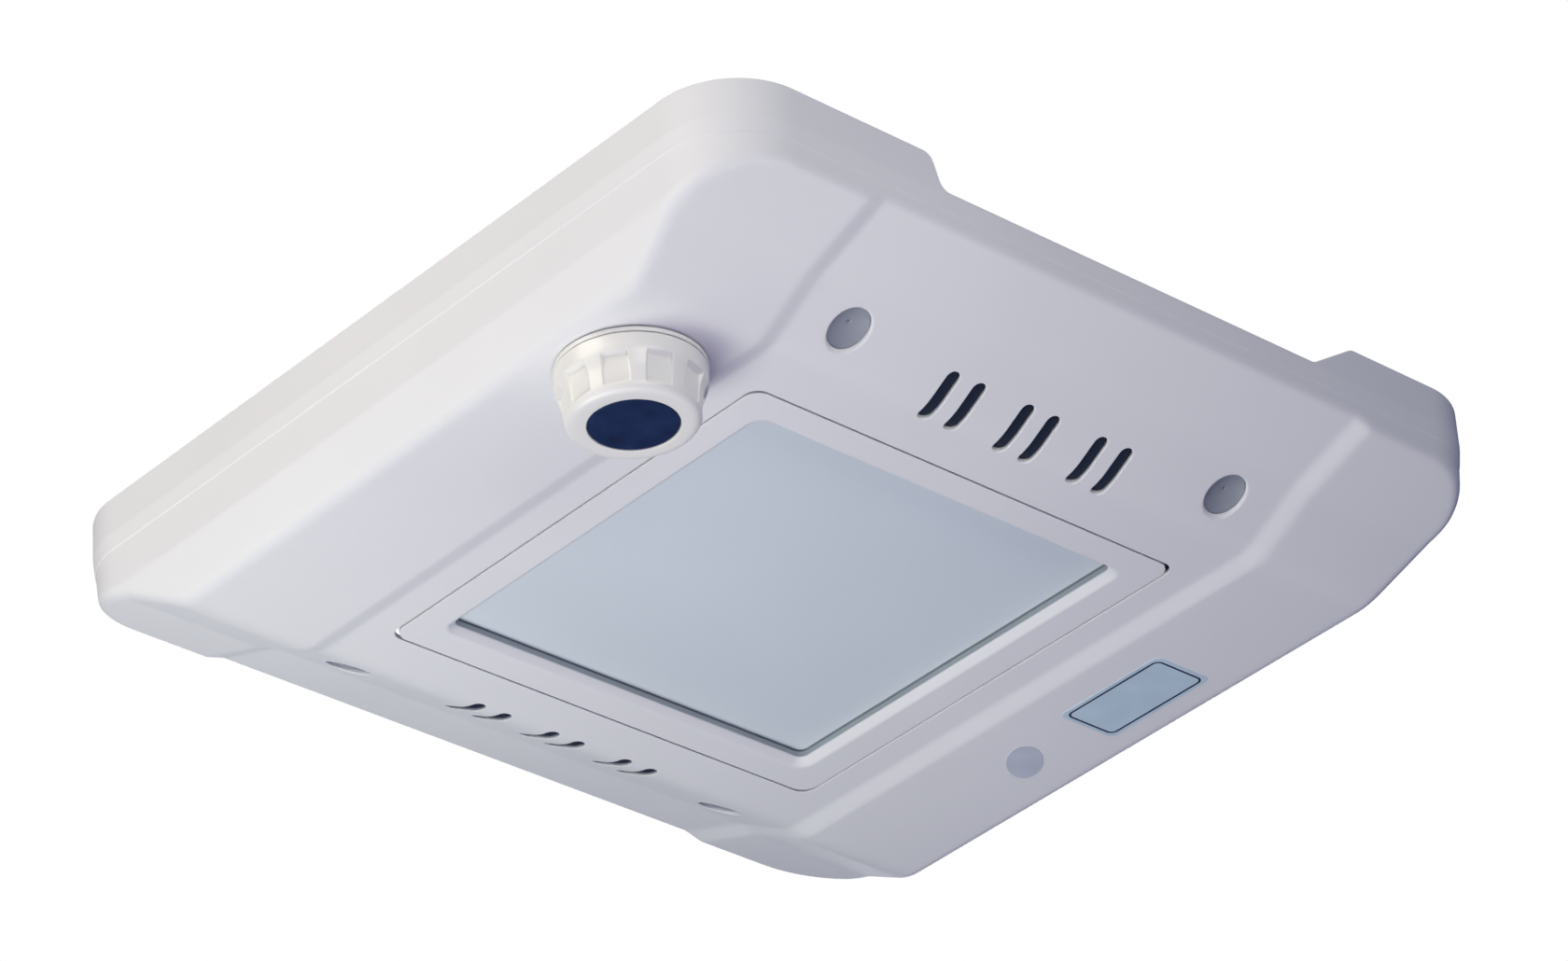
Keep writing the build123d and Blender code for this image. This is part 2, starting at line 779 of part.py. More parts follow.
# Door magnets: holders on the heat sink, magnets, and strike plates on the door
holders = []
magnets = []
strikes = []
catch_screws = []
strike_top = up(strike_up + strike_thickness)
magnet_low = strike_top + catch_gap
for sx in (-1, 1):
    x = sx * catch_x
    y = -sink_half - catch_depth / 2
    holder = block(x - catch_half_x, x + catch_half_x, -sink_half - catch_depth, -sink_half,
                   magnet_low, magnet_low + catch_height)
    holder = fillet(holder.edges().filter_by(Axis.Z), 1.5)
    holder = holder - rod(magnet_radius + 0.02, x, y, magnet_low - 1, magnet_low + magnet_height)
    for offset in (-1, 1):
        screw_x = x + offset * (catch_half_x - 4.0)
        hole = Pos(screw_x, y, magnet_low + 10) * Rot(90, 0, 0) * Cylinder(1.7, catch_depth + 2)
        holder = holder - hole
        head = Pos(screw_x, -sink_half - catch_depth - 0.8, magnet_low + 10) * Rot(90, 0, 0)
        shank = Pos(screw_x, y, magnet_low + 10) * Rot(90, 0, 0)
        catch_screws.append(head * Cylinder(small_head_radius, 1.6) + shank * Cylinder(
            small_screw_radius, catch_depth))
    holders.append(holder)
    magnets.append(rod(magnet_radius, x, y, magnet_low, magnet_low + magnet_height))
    strikes.append(block(x - catch_half_x + 1, x + catch_half_x - 1, -rim_half - pad_depth + 0.6,
                         -rim_half - 0.3, up(strike_up), strike_top))
save("catch_holders", holders)
save("catch_screws", catch_screws)
save("catch_magnets", magnets)
save("strike_plates", strikes)

# Sensor base: a collar under the panel and a threaded socket through it
seal_bottom = panel_z - sensor_seal
collar_bottom = seal_bottom - collar_thickness
sensor_seal_ring = rod(sensor_seal_radius, sensor_x, sensor_y, seal_bottom, panel_z)
sensor_seal_ring = sensor_seal_ring - rod(
    socket_radius + socket_clearance, sensor_x, sensor_y, seal_bottom - 1, panel_z + 1
)
save("sensor_seal", sensor_seal_ring)
base = rod(collar_radius, sensor_x, sensor_y, collar_bottom, seal_bottom)
base = base + rod(socket_radius, sensor_x, sensor_y, collar_bottom, panel_z + socket_up)
slot_low = collar_bottom - 1
slot_high = panel_z + blade_top + blade_clearance
blade_inner = blade_radius - blade_thickness / 2
blade_outer = blade_radius + blade_thickness / 2


def arc_wall(inner_radius, outer_radius, start, sweep, z0, z1):
    """Piece of an upright tube round the sensor's axis."""
    points = []
    for k in range(9):
        angle = math.radians(start + sweep * k / 8)
        points.append((2 * outer_radius * math.cos(angle), 2 * outer_radius * math.sin(angle)))
    sector = make_face(Polyline((0, 0), *points, (0, 0)))
    tube = Circle(outer_radius) - Circle(inner_radius)
    return Pos(sensor_x, sensor_y, z0) * extrude(tube & sector, amount=z1 - z0)


blades = []
for k in range(blade_count):
    centre = 360.0 * k / blade_count
    start = centre - blade_half_angle
    blades.append((start, 2 * blade_half_angle))
    base = base - arc_wall(
        blade_inner - blade_clearance, blade_outer + blade_clearance, start - twist_margin,
        2 * blade_half_angle + twist_angle + 2 * twist_margin, slot_low, slot_high,
    )
wire_channel = rod(wire_radius + 0.1, sensor_x, sensor_y, panel_z + socket_up - 6,
                   panel_z + socket_up + 1)
base = base - wire_channel
save("sensor_base", base)
nut_low = up(panel_inside)
nut = Pos(sensor_x, sensor_y, nut_low) * extrude(
    RegularPolygon(nut_radius, 6), amount=nut_height
)
nut = nut - rod(socket_radius + 0.05, sensor_x, sensor_y, nut_low - 1, nut_low + nut_height + 1)
save("sensor_nut", nut)

# Sensor cap: turned shell with grip recesses, its window, electronics and contact blades
cap_top = collar_bottom - cap_gap
cap_bottom = cap_top - cap_height
cap_points = [
    (window_radius + 0.3, cap_bottom),
    (cap_face_radius, cap_bottom),
    (cap_waist_radius, cap_top - cap_waist_height),
    (cap_radius - 0.4, cap_top - cap_flare_height),
    (cap_radius, cap_top),
    (cap_radius - cap_wall, cap_top),
    (cap_radius - cap_wall, cap_top - sensor_board_drop),
    (cap_face_radius - cap_wall - 1.0, cap_top - sensor_board_drop),
    (cap_face_radius - cap_wall - 2.0, cap_bottom + 3.5),
    (window_radius + 0.3, cap_bottom + 3.5),
]
cap_points = [Vector(x, 0, z) for x, z in cap_points]
cap_outline = FilletPolyline(*cap_points, radius=[0, cap_edge_radius, 3, 3, 0.6, 0, 0, 0, 0, 0],
                             close=True)
cap = Pos(sensor_x, sensor_y, 0) * revolve(make_face(cap_outline.edges()), Axis.Z)
taper = (cap_waist_radius - cap_face_radius) / (cap_height - cap_waist_height)
grip_middle = (grip_start + grip_end) / 2
grip_floor = cap_waist_radius - grip_depth - taper * (grip_middle - cap_waist_height)
for k in range(grip_count):
    turn = 360.0 * k / grip_count
    lean = math.degrees(math.atan(taper))
    cutter = block(0, 8, -grip_width / 2, grip_width / 2, -(grip_end - grip_start) / 2,
                   (grip_end - grip_start) / 2)
    place = Rot(0, 0, turn) * Pos(grip_floor, 0, cap_top - grip_middle) * Rot(0, lean, 0)
    cap = cap - Pos(sensor_x, sensor_y, 0) * place * cutter
save("sensor_cap", cap)
window_face = cap_bottom + window_sink
flange_low = cap_bottom + 3.5
window = rod(window_radius, sensor_x, sensor_y, window_face, flange_low + window_thickness)
window = window + rod(window_radius + window_flange, sensor_x, sensor_y, flange_low,
                      flange_low + window_thickness)
save("sensor_window", window)
board_low = cap_top - sensor_board_drop
board_high = board_low + 1.6
save("sensor_board", rod(sensor_board_radius, sensor_x, sensor_y, board_low, board_high))
element = rod(element_radius, sensor_x, sensor_y, board_low - element_height, board_low)
element = fillet(element.edges().filter_by(GeomType.CIRCLE).sort_by(Axis.Z)[0], 2.0)
save("sensor_element", element)
back_low = board_high
back = rod(cap_radius - cap_wall - 0.2, sensor_x, sensor_y, back_low, back_low + back_plate_thickness)
blade_low = back_low + back_plate_thickness
save("sensor_back_plate", back)
contact_blades = [
    arc_wall(blade_inner, blade_outer, start, sweep, blade_low, panel_z + blade_top)
    for start, sweep in blades
]
save("contact_blades", contact_blades)

# Driver, terminal block and surge protector with their screws


def boxed_unit(x, y, width, length, height, ends):
    """Potted box on two ears that stand on bosses; ends are the two screw places."""
    low = up(driver_up)
    body = block(x - width / 2, x + width / 2, y - length / 2, y + length / 2, low, low + height)
    body = fillet(body.edges().filter_by(Axis.Z), driver_corner)
    for screw_x, screw_y in ends:
        ear = block(min(x, screw_x - 6), max(x, screw_x + 6), min(y, screw_y - 6),
                    max(y, screw_y + 6), low, low + driver_ear_thickness)
        if abs(screw_x - x) > 1:
            ear = block(min(x, screw_x - 6), max(x, screw_x + 6), y - 7, y + 7, low,
                        low + driver_ear_thickness)
        else:
            ear = block(x - 9, x + 9, min(y, screw_y - 6), max(y, screw_y + 6), low,
                        low + driver_ear_thickness)
        body = body + ear
        body = body - rod(small_screw_radius + 0.3, screw_x, screw_y, low - 1,
                          low + driver_ear_thickness + 1)
    return body


def ear_screws(ends):
    """Screws that hold a boxed unit's ears."""
    seat = up(driver_up) + driver_ear_thickness
    return [
        screw(x, y, seat, small_head_radius, small_head_height, small_screw_radius,
              driver_ear_thickness + pilot_depth - 0.5, True)
        for x, y in ends
    ]


driver_places = [(driver_x, y) for y in driver_ends]
driver = boxed_unit(driver_x, driver_y, driver_width, driver_length, driver_height, driver_places)
save("driver_case", driver)
save("driver_screws", ear_screws(driver_places))
terminal_places = [(x, terminal_y) for x in terminal_screws_x]
terminal = boxed_unit(driver_x, terminal_y, terminal_width, terminal_length, terminal_height,
                      terminal_places)
terminal_top = up(driver_up) + terminal_height
clamps = []
for k in range(terminal_ways):
    x = driver_x + (k - (terminal_ways - 1) / 2) * terminal_width / (terminal_ways + 0.4)
    terminal = terminal - rod(3.2, x, terminal_y, terminal_top - 6, terminal_top + 1)
    clamps.append(rod(3.0, x, terminal_y, terminal_top - 6, terminal_top - 1.5))
save("terminal_block", terminal)
save("terminal_clamps", clamps)
save("terminal_screws", ear_screws(terminal_places))
surge_places = [(surge_x, y) for y in surge_ends]
surge = boxed_unit(surge_x, surge_y, surge_width, surge_length, surge_height, surge_places)
save("surge_protector", surge)
save("surge_screws", ear_screws(surge_places))


def held_wire(name, points):
    """Wire of round section along straight runs joined by the largest arcs that fit."""
    points = [Vector(*p) for p in points]
    radii = []
    for before, here, after in zip(points, points[1:], points[2:]):
        run_in = here - before
        run_out = after - here
        turn = math.radians(run_in.get_angle(run_out))
        radii.append(0.45 * min(run_in.length, run_out.length) / math.tan(turn / 2))
    path = FilletPolyline(*points, radius=radii)
    start = Plane(origin=path @ 0, z_dir=path % 0)
    wire = sweep(start * Circle(wire_radius), path=path)
    section = math.pi * wire_radius ** 2
    print(name, "length", round(path.length, 1), "radii", [round(r, 1) for r in radii],
          "volume over section times length", round(wire.volume / (section * path.length), 4))
    return save(name, wire)


driver_mid = up(driver_up + driver_height * 0.5)
driver_near = driver_y - driver_length / 2
driver_far = driver_y + driver_length / 2
terminal_near = terminal_y - terminal_length / 2
terminal_far = terminal_y + terminal_length / 2
terminal_mid = up(driver_up + terminal_height * 0.4)
socket_top = panel_z + socket_up
high = up(wire_height)
near_y = -150.0
far_y = 152.0
entry_run = 8.0
held_wire("sensor_lead", [
    (sensor_x, sensor_y, socket_top - 6),
    (sensor_x, sensor_y, high - 14),
    (sensor_x + 26, near_y + 6, high),
    (sensor_x + 96, near_y - 2, high - 2),
    (sensor_x + 196, near_y + 2, high + 1),
    (sensor_x + 300, near_y - 3, high - 1),
    (driver_x - 18, near_y - 10, high - 4),
    (driver_x, driver_near - 34, driver_mid + 4),
    (driver_x, driver_near - entry_run - 8, driver_mid),
    (driver_x, driver_near, driver_mid),
])
supply_middle = (terminal_near + driver_far) / 2
held_wire("supply_lead", [
    (driver_x, terminal_near, terminal_mid),
    (driver_x, terminal_near - entry_run, terminal_mid),
    (driver_x, supply_middle, (terminal_mid + driver_mid) / 2 + 1.0),
    (driver_x, driver_far + entry_run, driver_mid),
    (driver_x, driver_far, driver_mid),
])
led_y = driver_far - 20
driver_side = driver_x - driver_width / 2
over_fins = sink_top + fin_height + wire_radius + 4.0
held_wire("led_lead", [
    (driver_side, led_y, driver_mid + 8),
    (driver_side - entry_run - 6, led_y, driver_mid + 8),
    (driver_side - 40, led_y + 12, over_fins),
    (lead_hole_x + 28, lead_hole_y - 2, over_fins),
    (lead_hole_x, lead_hole_y, over_fins - 6),
    (lead_hole_x, lead_hole_y, up(board_up + board_thickness)),
])
surge_far = surge_y + surge_length / 2
surge_mid = up(driver_up + surge_height * 0.6)
held_wire("surge_lead", [
    (surge_x, surge_far, surge_mid),
    (surge_x, surge_far + entry_run + 14, surge_mid),
    (surge_x + 14, far_y - 14, high - 6),
    (surge_x + 60, far_y + 1, high),
    (surge_x + 150, far_y - 2, high - 1),
    (surge_x + 250, far_y + 2, high + 1),
    (surge_x + 340, far_y - 1, high - 2),
    (driver_x - 22, far_y + 8, high - 16),
    (driver_x, terminal_far + 24, terminal_mid + 6),
    (driver_x, terminal_far + entry_run, terminal_mid),
    (driver_x, terminal_far, terminal_mid),
])

# Labels stuck under the +X panel, both left blank
label = Pos(label_x, label_y, panel_z - label_thickness) * extrude(
    RectangleRounded(label_width, label_length, label_corner), amount=label_thickness
)
save("rating_label", label)
sticker = Pos(sticker_x, sticker_y, panel_z - label_thickness) * Rot(0, 0, sticker_turn) * extrude(
    Ellipse(sticker_long_radius, sticker_short_radius), amount=label_thickness
)
save("round_sticker", sticker)
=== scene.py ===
import functools
import math

import bmesh
import bpy
import numpy as np
from bpy.props import FloatProperty, FloatVectorProperty, IntProperty, PointerProperty
from mathutils import Matrix, Vector


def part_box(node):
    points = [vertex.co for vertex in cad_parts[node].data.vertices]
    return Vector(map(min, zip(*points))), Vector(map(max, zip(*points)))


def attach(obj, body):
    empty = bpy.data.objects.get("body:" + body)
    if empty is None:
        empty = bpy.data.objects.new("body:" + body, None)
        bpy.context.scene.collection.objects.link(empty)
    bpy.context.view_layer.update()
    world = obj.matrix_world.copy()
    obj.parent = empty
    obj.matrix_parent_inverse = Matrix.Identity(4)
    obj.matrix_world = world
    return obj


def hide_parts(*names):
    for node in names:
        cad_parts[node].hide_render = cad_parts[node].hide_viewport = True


bl_info = {
    "name": "Canopy light",
    "version": (1, 0, 0),
    "blender": (4, 5, 0),
    "location": "View3D > Sidebar > Canopy light",
    "description": "Dresses a square ceiling canopy light with its shell, door, sensor and labels",
    "category": "Object",
}

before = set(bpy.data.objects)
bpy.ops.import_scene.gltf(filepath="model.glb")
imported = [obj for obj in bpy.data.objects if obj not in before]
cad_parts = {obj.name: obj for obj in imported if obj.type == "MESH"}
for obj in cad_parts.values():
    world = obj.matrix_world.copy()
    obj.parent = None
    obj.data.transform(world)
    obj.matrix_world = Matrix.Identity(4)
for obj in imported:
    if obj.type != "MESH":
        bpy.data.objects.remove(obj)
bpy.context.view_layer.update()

SEAM = 1e-7
SENSOR = (-0.204, -0.1225)
HINGES_X = (-0.095, 0.095)


def length(name, default, description):
    """A size in metres that a user can change in the sidebar."""
    return FloatProperty(name=name, description=description, default=default, subtype="DISTANCE",
                         unit="LENGTH", precision=5)


def tint(name, default, description):
    """A colour that a user can change in the sidebar."""
    return FloatVectorProperty(name=name, description=description, default=default, size=3,
                               subtype="COLOR", min=0.0, max=1.0)


class CanopyShellSizes(bpy.types.PropertyGroup):
    """Sizes of the white shell, the same as in the part's source."""

    half: length("Half side", 0.26, "Half the side of the rim")
    height: length("Height", 0.0795, "From the ceiling to the side panels")
    corner: length("Corner", 0.044, "Radius of the rim's corners")
    wall: length("Wall", 0.0025, "Thickness of the shell")
    rim_gap: length("Rim gap", 0.0005, "Between the ceiling and the rim")
    panel_half: length("Panel edge", 0.2466, "Where the side panels turn into the walls")
    panel_drop: length("Panel drop", 0.0035, "How far the side panels hang below the middle band")
    panel_blend: length("Panel blend", 0.0062, "Reach of the soft edge along the side panels")
    end_blend: length("End blend", 0.0042, "Reach of the soft edge along the sloped ends")
    recess_half: length("Middle band", 0.1585, "Half the width of the sunk middle band")
    step_width: length("Step", 0.0105, "Width of the step from the band to the panel")
    bend_y: length("Bend", 0.174, "Where the ends start to rise")
    knee_y: length("Knee", 0.212, "Where the rise gets flatter")
    knee_rise: length("Knee rise", 0.021, "Rise at the knee")
    end_y: length("End", 0.2566, "Where the ends turn into the end walls")
    end_rise: length("End rise", 0.0365, "Rise at the end walls")
    notch_depth: length("Notch depth", 0.0188, "Depth of the notches in the rim")
    notch_steep: length("Steep notch end", 0.1255, "Middle of the notch's steep end")
    notch_steep_half: length("Steep notch half width", 0.0030, "Half the width of that end")
    notch_ramp: length("Ramped notch end", 0.1435, "Middle of the notch's ramped end")
    notch_ramp_half: length("Ramp half width", 0.0145, "Half the width of that ramp")
    notch_radius: length("Notch radius", 0.007, "Radius of the notch's rounded corners")
    slot_y: length("Slot place", 0.1815, "Distance of the vent slots from the middle")
    slot_length: length("Slot length", 0.028, "Length of a vent slot")
    slot_width: length("Slot width", 0.0074, "Width of a vent slot")
    slot_lip: length("Slot lip", 0.0007, "Radius of the rounded edge of a slot")
    slot_pitch: length("Slot pitch", 0.0495, "Between the pairs of slots")
    slot_spacing: length("Slot spacing", 0.0172, "Between the slots of a pair")
    recess_x: length("Screw recess X", 0.1263, "Place of the screw recesses across")
    recess_y: length("Screw recess Y", 0.193, "Place of the screw recesses along")
    recess_radius: length("Screw recess radius", 0.011, "Radius of a screw recess")
    recess_lip: length("Recess lip", 0.0013, "Radius of the rounded edge of a screw recess")


class CanopyDoorSizes(bpy.types.PropertyGroup):
    """Sizes of the lens door and of its opening."""

    half: length("Half side", 0.14, "Half the side of the door")
    corner: length("Corner", 0.009, "Radius of the door's corners")
    gap: length("Gap", 0.0012, "Gap between the door and the shell")
    skin: length("Skin", 0.0025, "Thickness of the door's flange")
    bevel_half: length("Bevel", 0.1226, "Half the side of the window bevel at the face")
    window_half: length("Window", 0.1185, "Half the side of the window")
    bevel_depth: length("Bevel depth", 0.0036, "Depth of the window bevel")
    ledge: length("Ledge", 0.0043, "Height of the ledge that carries the pane")
    pocket_half: length("Pocket", 0.124, "Half the side of the pane's pocket")
    rim_half: length("Rim", 0.128, "Half the side of the door's inner rim")
    rim_height: length("Rim height", 0.0133, "Height of the door's inner rim")


class CanopySensorSizes(bpy.types.PropertyGroup):
    """Sizes of the round sensor's cap."""

    grips: IntProperty(name="Grips", description="Grip channels round the cap", default=10, min=0)
    grip_width: length("Grip width", 0.0130, "Width of a grip channel")
    grip_depth: length("Grip depth", 0.0013, "Depth of a grip channel below the waist")
    grip_start: length("Grip start", 0.0096, "Where the channels start under the cap's top")
    grip_end: length("Grip end", 0.0246, "Where they end")
    waist: length("Waist", 0.0145, "Height of the waist under the cap's top")
    waist_radius: length("Waist radius", 0.0342, "Radius of the waist")
    taper: FloatProperty(name="Taper", description="Change of radius over height below the waist",
                         default=0.1233)


class CanopyColours(bpy.types.PropertyGroup):
    """Base colours of the finishes that show most."""

    paint: tint("Paint", (0.80, 0.80, 0.815), "Powder coat of the shell and the door")
    plastic: tint("White plastic", (0.83, 0.82, 0.79), "Moulded cap, collar and plugs")
    pane: tint("Pane", (0.70, 0.76, 0.81), "Frosted pane")
    window: tint("Sensor window", (0.012, 0.025, 0.075), "Dark window of the sensor")
    vents: tint("Vent mesh", (0.012, 0.02, 0.045), "Mesh behind the vent slots")
    label: tint("Label", (0.61, 0.755, 0.85), "Metallised film of the labels")
    ink: tint("Ink", (0.015, 0.022, 0.06), "Border line of the labels")


def shell_sizes():
    """The shell's sizes as they stand in the sidebar."""
    return bpy.context.scene.canopy_shell


def door_sizes():
    """The door's sizes as they stand in the sidebar."""
    return bpy.context.scene.canopy_door


def face_level():
    """Height of the flat face round the door, in the row frame."""
    s = shell_sizes()
    return -(s.height - s.panel_drop)


# Surfaces


def soft_ramp(d, reach):
    """Zero before -reach, d after +reach, and the parabola (d + reach)^2 / 4 reach between."""
    bent = (d + reach) ** 2 / (4 * reach)
    return np.where(d <= -reach, 0.0, np.where(d >= reach, d, bent))


def smooth_window(d, half, soft):
    """One where |d| is under half, zero outside, with a smooth step of width soft."""
    t = np.clip((half - np.abs(d)) / soft + 0.5, 0, 1)
    return t * t * (3 - 2 * t)


def graded(stops, gaps):
    """Positions from the first stop to the last, spaced by each span's own gap."""
    runs = [
        np.linspace(a, b, max(1, round((b - a) / g)) + 1)[:-1]
        for a, b, g in zip(stops, stops[1:], gaps)
    ]
    return np.concatenate(runs + [[stops[-1]]])


def rounded(points, reaches, steps=4, closed=True):
    """Outline whose corners are parabolas: each starts and ends reach away from its corner.

    A corner with no reach stays sharp. Points may have two or three coordinates.
    """
    p = np.asarray(points, float)
    out = []
    count = len(p)
    t = np.linspace(0, 1, steps + 1)[:, None]
    for k in range(count):
        reach = reaches[k]
        if reach == 0 or (not closed and k in (0, count - 1)):
            out.append(p[k:k + 1])
            continue
        before, after = p[k - 1], p[(k + 1) % count]
        start = p[k] + (before - p[k]) * reach / np.linalg.norm(before[:2] - p[k][:2])
        end = p[k] + (after - p[k]) * reach / np.linalg.norm(after[:2] - p[k][:2])
        out.append((1 - t) ** 2 * start + 2 * t * (1 - t) * p[k] + t ** 2 * end)
    return np.concatenate(out)


def frame_columns(straight, bend):
    """Columns of a rounded rectangle: centre directions and normals, counter-clockwise.

    straight is the list of places on each side from -1 to 1, and bend the angles of a corner
    between 0 and 90 degrees without its ends.
    """
    centres, normals = [], []
    for k in range(4):
        turn = math.radians(90 * k)
        spin = np.array([[math.cos(turn), -math.sin(turn)], [math.sin(turn), math.cos(turn)]])
        places = straight[k % len(straight)]
        side = np.stack([places, -np.ones_like(places)], 1)
        out = np.tile([0.0, -1.0], (len(places), 1))
        corner = np.tile([1.0, -1.0], (len(bend), 1))
        fan = np.stack([np.sin(bend), -np.cos(bend)], 1)
        centres += [side @ spin.T, corner @ spin.T]
        normals += [out @ spin.T, fan @ spin.T]
    return np.concatenate(centres), np.concatenate(normals)


def ring_points(columns, half_x, half_y, corner, z):
    """One rounded rectangle for each size: (half - corner) * centre + corner * normal."""
    centres, normals = columns
    half_x, half_y, corner, z = np.broadcast_arrays(*[np.asarray(v, float) for v in
                                                      (half_x, half_y, corner, z)])
    x = (half_x - corner)[..., None] * centres[:, 0] + corner[..., None] * normals[:, 0]
    y = (half_y - corner)[..., None] * centres[:, 1] + corner[..., None] * normals[:, 1]
    return np.stack([x, y, np.broadcast_to(z[..., None], x.shape)], -1)


def turned_points(radius, z, count, centre=(0.0, 0.0)):
    """Rings round an upright axis; radius may vary with the angle."""
    angle = np.linspace(0, 2 * np.pi, count, endpoint=False)
    radius, z = np.asarray(radius, float), np.asarray(z, float)
    if radius.ndim == 1:
        radius = radius[:, None] * np.ones(count)
    x = centre[0] + radius * np.cos(angle)
    y = centre[1] + radius * np.sin(angle)
    return np.stack([x, y, z[:, None] * np.ones(count)], -1)


def grid_faces(rows, cols, ring=False):
    """Quads of a grid whose columns close on themselves; ring closes its rows too."""
    i, j = np.meshgrid(np.arange(rows if ring else rows - 1), np.arange(cols), indexing="ij")
    i1, j1 = (i + 1) % rows, (j + 1) % cols
    quads = np.stack([i * cols + j, i * cols + j1, i1 * cols + j1, i1 * cols + j], -1)
    return quads.reshape(-1, 4)


def skin(p, **closing):
    """Points of a grid of rings, with their faces."""
    return p, grid_faces(p.shape[0], p.shape[1], **closing)


def put_mesh(name, parts, smooth=True):
    """Mesh object from a list of (points, faces), merged at the seams, with normals outwards."""
    points, faces, first = [], [], 0
    for p, f in parts:
        p = np.asarray(p, float).reshape(-1, 3)
        points.append(p)
        faces.append(np.asarray(f) + first)
        first += len(p)
    mesh = bpy.data.meshes.new(name)
    mesh.from_pydata(np.concatenate(points).tolist(), [], np.concatenate(faces).tolist())
    bm = bmesh.new()
    bm.from_mesh(mesh)
    bmesh.ops.remove_doubles(bm, verts=bm.verts, dist=SEAM)
    bmesh.ops.dissolve_degenerate(bm, edges=bm.edges, dist=SEAM)
    bmesh.ops.recalc_face_normals(bm, faces=bm.faces)
    bm.to_mesh(mesh)
    bm.free()
    mesh.polygons.foreach_set("use_smooth", np.full(len(mesh.polygons), smooth))
    mesh.update()
    obj = bpy.data.objects.new(name, mesh)
    bpy.context.scene.collection.objects.link(obj)
    return obj


def closed_ring(name, columns, profile):
    """Closed band: profile rows of (half, z, corner) carried round rounded squares."""
    half, z, corner = np.asarray(profile, float).T
    return put_mesh(name, [skin(ring_points(columns, half, half, corner, z), ring=True)])


def turned_solid(name, profile, count, closed=False, grips=None):
    """Solid turned from (radius, z) rows round the sensor's axis, less grips(angle, radius, z)."""
    profile = np.asarray(profile, float)
    radius = profile[:, 0][:, None] * np.ones(count)
    if grips is not None:
        angle = np.linspace(0, 2 * np.pi, count, endpoint=False)
        radius = radius - grips(angle[None, :], profile[:, 0][:, None], profile[:, 1][:, None])
    return put_mesh(name, [skin(turned_points(radius, profile[:, 1], count, SENSOR), ring=closed)])


def stand_for(obj, body, finish, node):
    """Gives a new piece its finish, its body and the node that it replaces."""
    obj.data.materials.append(finish_of(finish))
    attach(obj, body)
    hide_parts(node)


# Finishes


def link(tree, a, out, b, into):
    """Joins two node sockets."""
    tree.links.new(a.outputs[out], b.inputs[into])


def add_noise(tree, coords, scale, detail, rough=0.5):
    """Noise on Object coordinates."""
    noise = tree.nodes.new("ShaderNodeTexNoise")
    noise.inputs["Scale"].default_value = scale
    noise.inputs["Detail"].default_value = detail
    noise.inputs["Roughness"].default_value = rough
    link(tree, coords, "Object", noise, "Vector")
    return noise


def add_range(tree, source, out, low, high, to_low, to_high):
    """Map Range node from one span to another."""
    node = tree.nodes.new("ShaderNodeMapRange")
    for name, value in (("From Min", low), ("From Max", high), ("To Min", to_low), ("To Max", to_high)):
        node.inputs[name].default_value = value
    link(tree, source, out, node, "Value")
    return node


def add_mix(tree, factor, out, first, second):
    """Colour mix between two fixed colours."""
    node = tree.nodes.new("ShaderNodeMix")
    node.data_type = "RGBA"
    node.inputs["A"].default_value = (*first, 1)
    node.inputs["B"].default_value = (*second, 1)
    link(tree, factor, out, node, "Factor")
    return node


def shade(colour, factor):
    """A colour made darker or lighter by a factor."""
    return tuple(min(1.0, c * factor) for c in colour)


def grained(name, colour, rough, patch, spread, grain, bump, depth=0.00005, metal=0.0, coat=0.0,
            specular=0.5, stretch=None):
    """Finish with slow patches of tone and roughness, and a fine grain that stands in relief.

    stretch scales the grain along each axis, for rolled or brushed metal.
    """
    material = bpy.data.materials.new(name)
    material.use_nodes = True
    tree = material.node_tree
    shader = tree.nodes["Principled BSDF"]
    coords = tree.nodes.new("ShaderNodeTexCoord")
    slow = add_noise(tree, coords, patch, 3.0)
    mix = add_mix(tree, add_range(tree, slow, "Fac", 0.3, 0.7, 0, 1), "Result",
                  shade(colour, 1 - spread), shade(colour, 1 + spread))
    link(tree, mix, "Result", shader, "Base Color")
    fine = add_noise(tree, coords, grain, 2.0, 0.6)
    if stretch:
        scaling = tree.nodes.new("ShaderNodeMapping")
        scaling.inputs["Scale"].default_value = stretch
        link(tree, coords, "Object", scaling, "Vector")
        link(tree, scaling, "Vector", fine, "Vector")
    gloss = add_range(tree, slow, "Fac", 0.3, 0.7, *rough)
    link(tree, gloss, "Result", shader, "Roughness")
    relief = tree.nodes.new("ShaderNodeBump")
    relief.inputs["Strength"].default_value = bump
    relief.inputs["Distance"].default_value = depth
    link(tree, fine, "Fac", relief, "Height")
    link(tree, relief, "Normal", shader, "Normal")
    shader.inputs["Metallic"].default_value = metal
    shader.inputs["Coat Weight"].default_value = coat
    shader.inputs["Specular IOR Level"].default_value = specular
    return material


def weave(material, colour, pitch):
    """Turns a finish into wire mesh: two crossed sets of waves on X and Y give its wires."""
    tree = material.node_tree
    shader = tree.nodes["Principled BSDF"]
    coords = next(n for n in tree.nodes if n.bl_idname == "ShaderNodeTexCoord")
    waves = []
    for axis in ("X", "Y"):
        wave = tree.nodes.new("ShaderNodeTexWave")
        wave.bands_direction = axis
        wave.inputs["Scale"].default_value = 0.314 / pitch
        link(tree, coords, "Object", wave, "Vector")
        waves.append(wave)
    top = tree.nodes.new("ShaderNodeMath")
    top.operation = "MAXIMUM"
    for slot, wave in enumerate(waves):
        link(tree, wave, "Fac", top, slot)
    mix = add_mix(tree, add_range(tree, top, "Value", 0.55, 0.95, 0, 1), "Result",
                  shade(colour, 0.25), shade(colour, 1.6))
    link(tree, mix, "Result", shader, "Base Color")
    return material


STEEL = (0.62, 0.61, 0.59)

